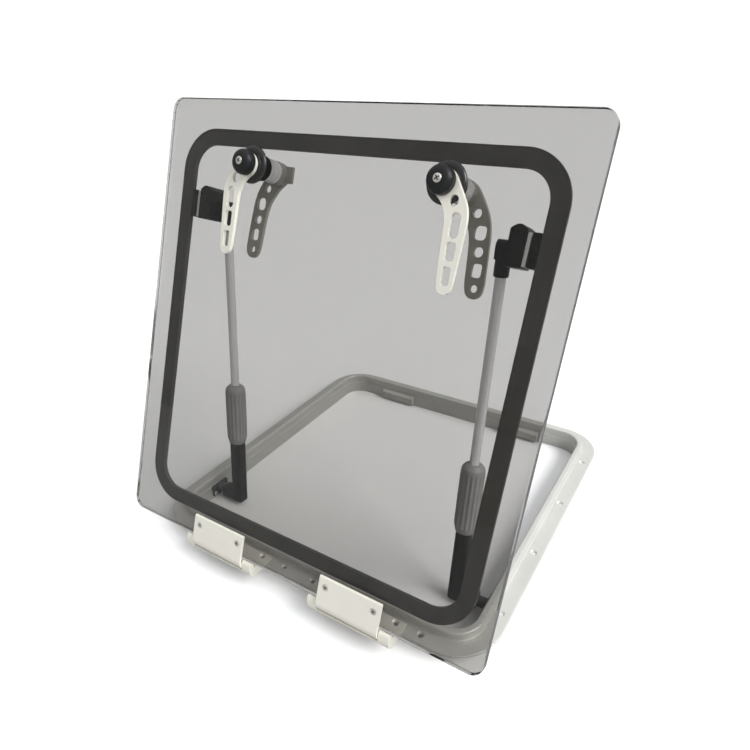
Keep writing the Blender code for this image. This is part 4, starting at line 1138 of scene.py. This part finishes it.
def seen_straight(tree):
    """1 where a surface is seen itself or through the lid, 0 for bounced light and reflections."""
    path = tree.nodes.new("ShaderNodeLightPath")
    either = tree.nodes.new("ShaderNodeMath")
    either.operation = "MAXIMUM"
    tree.links.new(path.outputs["Is Camera Ray"], either.inputs[0])
    tree.links.new(path.outputs["Is Transmission Ray"], either.inputs[1])
    return either


def studio():
    """White behind the object, and for its light and reflections a room brighter above."""
    world = bpy.data.worlds.new("studio")
    bpy.context.scene.world = world
    world.use_nodes = True
    tree = world.node_tree
    room = tree.nodes["Background"]
    room.inputs["Color"].default_value = (0.97, 0.98, 1.0, 1)
    white = tree.nodes.new("ShaderNodeBackground")
    white.inputs["Color"].default_value = (1, 1, 1, 1)
    white.inputs["Strength"].default_value = 1.02
    coords = tree.nodes.new("ShaderNodeTexCoord")
    split = tree.nodes.new("ShaderNodeSeparateXYZ")
    rise = tree.nodes.new("ShaderNodeMapRange")
    rise.inputs["From Min"].default_value = 0.0
    rise.inputs["From Max"].default_value = 0.9
    rise.inputs["To Min"].default_value = 0.3
    rise.inputs["To Max"].default_value = 0.9
    mix = tree.nodes.new("ShaderNodeMixShader")
    link(tree, coords, "Generated", split, "Vector")
    link(tree, split, "Z", rise, "Value")
    link(tree, rise, "Result", room, "Strength")
    link(tree, seen_straight(tree), "Value", mix, "Fac")
    tree.links.new(room.outputs["Background"], mix.inputs[1])
    tree.links.new(white.outputs["Background"], mix.inputs[2])
    link(tree, mix, "Shader", tree.nodes["World Output"], "Surface")


def camera():
    data = bpy.data.cameras.new("camera")
    data.sensor_width = SENSOR
    data.lens = LENS
    data.shift_x = SHIFT_X
    data.shift_y = SHIFT_Y
    obj = bpy.data.objects.new("camera", data)
    back = CAMERA_RIGHT.cross(CAMERA_UP)
    turn = Matrix((CAMERA_RIGHT, CAMERA_UP, back)).transposed().to_4x4()
    obj.matrix_world = Matrix.Translation(CAMERA_PLACE) @ turn
    bpy.context.scene.collection.objects.link(obj)
    bpy.context.scene.camera = obj


base_frame()
lid_panel()
lid_ring()
for word, side in (("left", -1), ("right", 1)):
    hinge_base(word, side)
    hinge_leaf(word, side)
    keeper(word, side)
    handle(word, side)
    upper_bracket(word, side)
    stay(word, side)
floor_and_light()
camera()
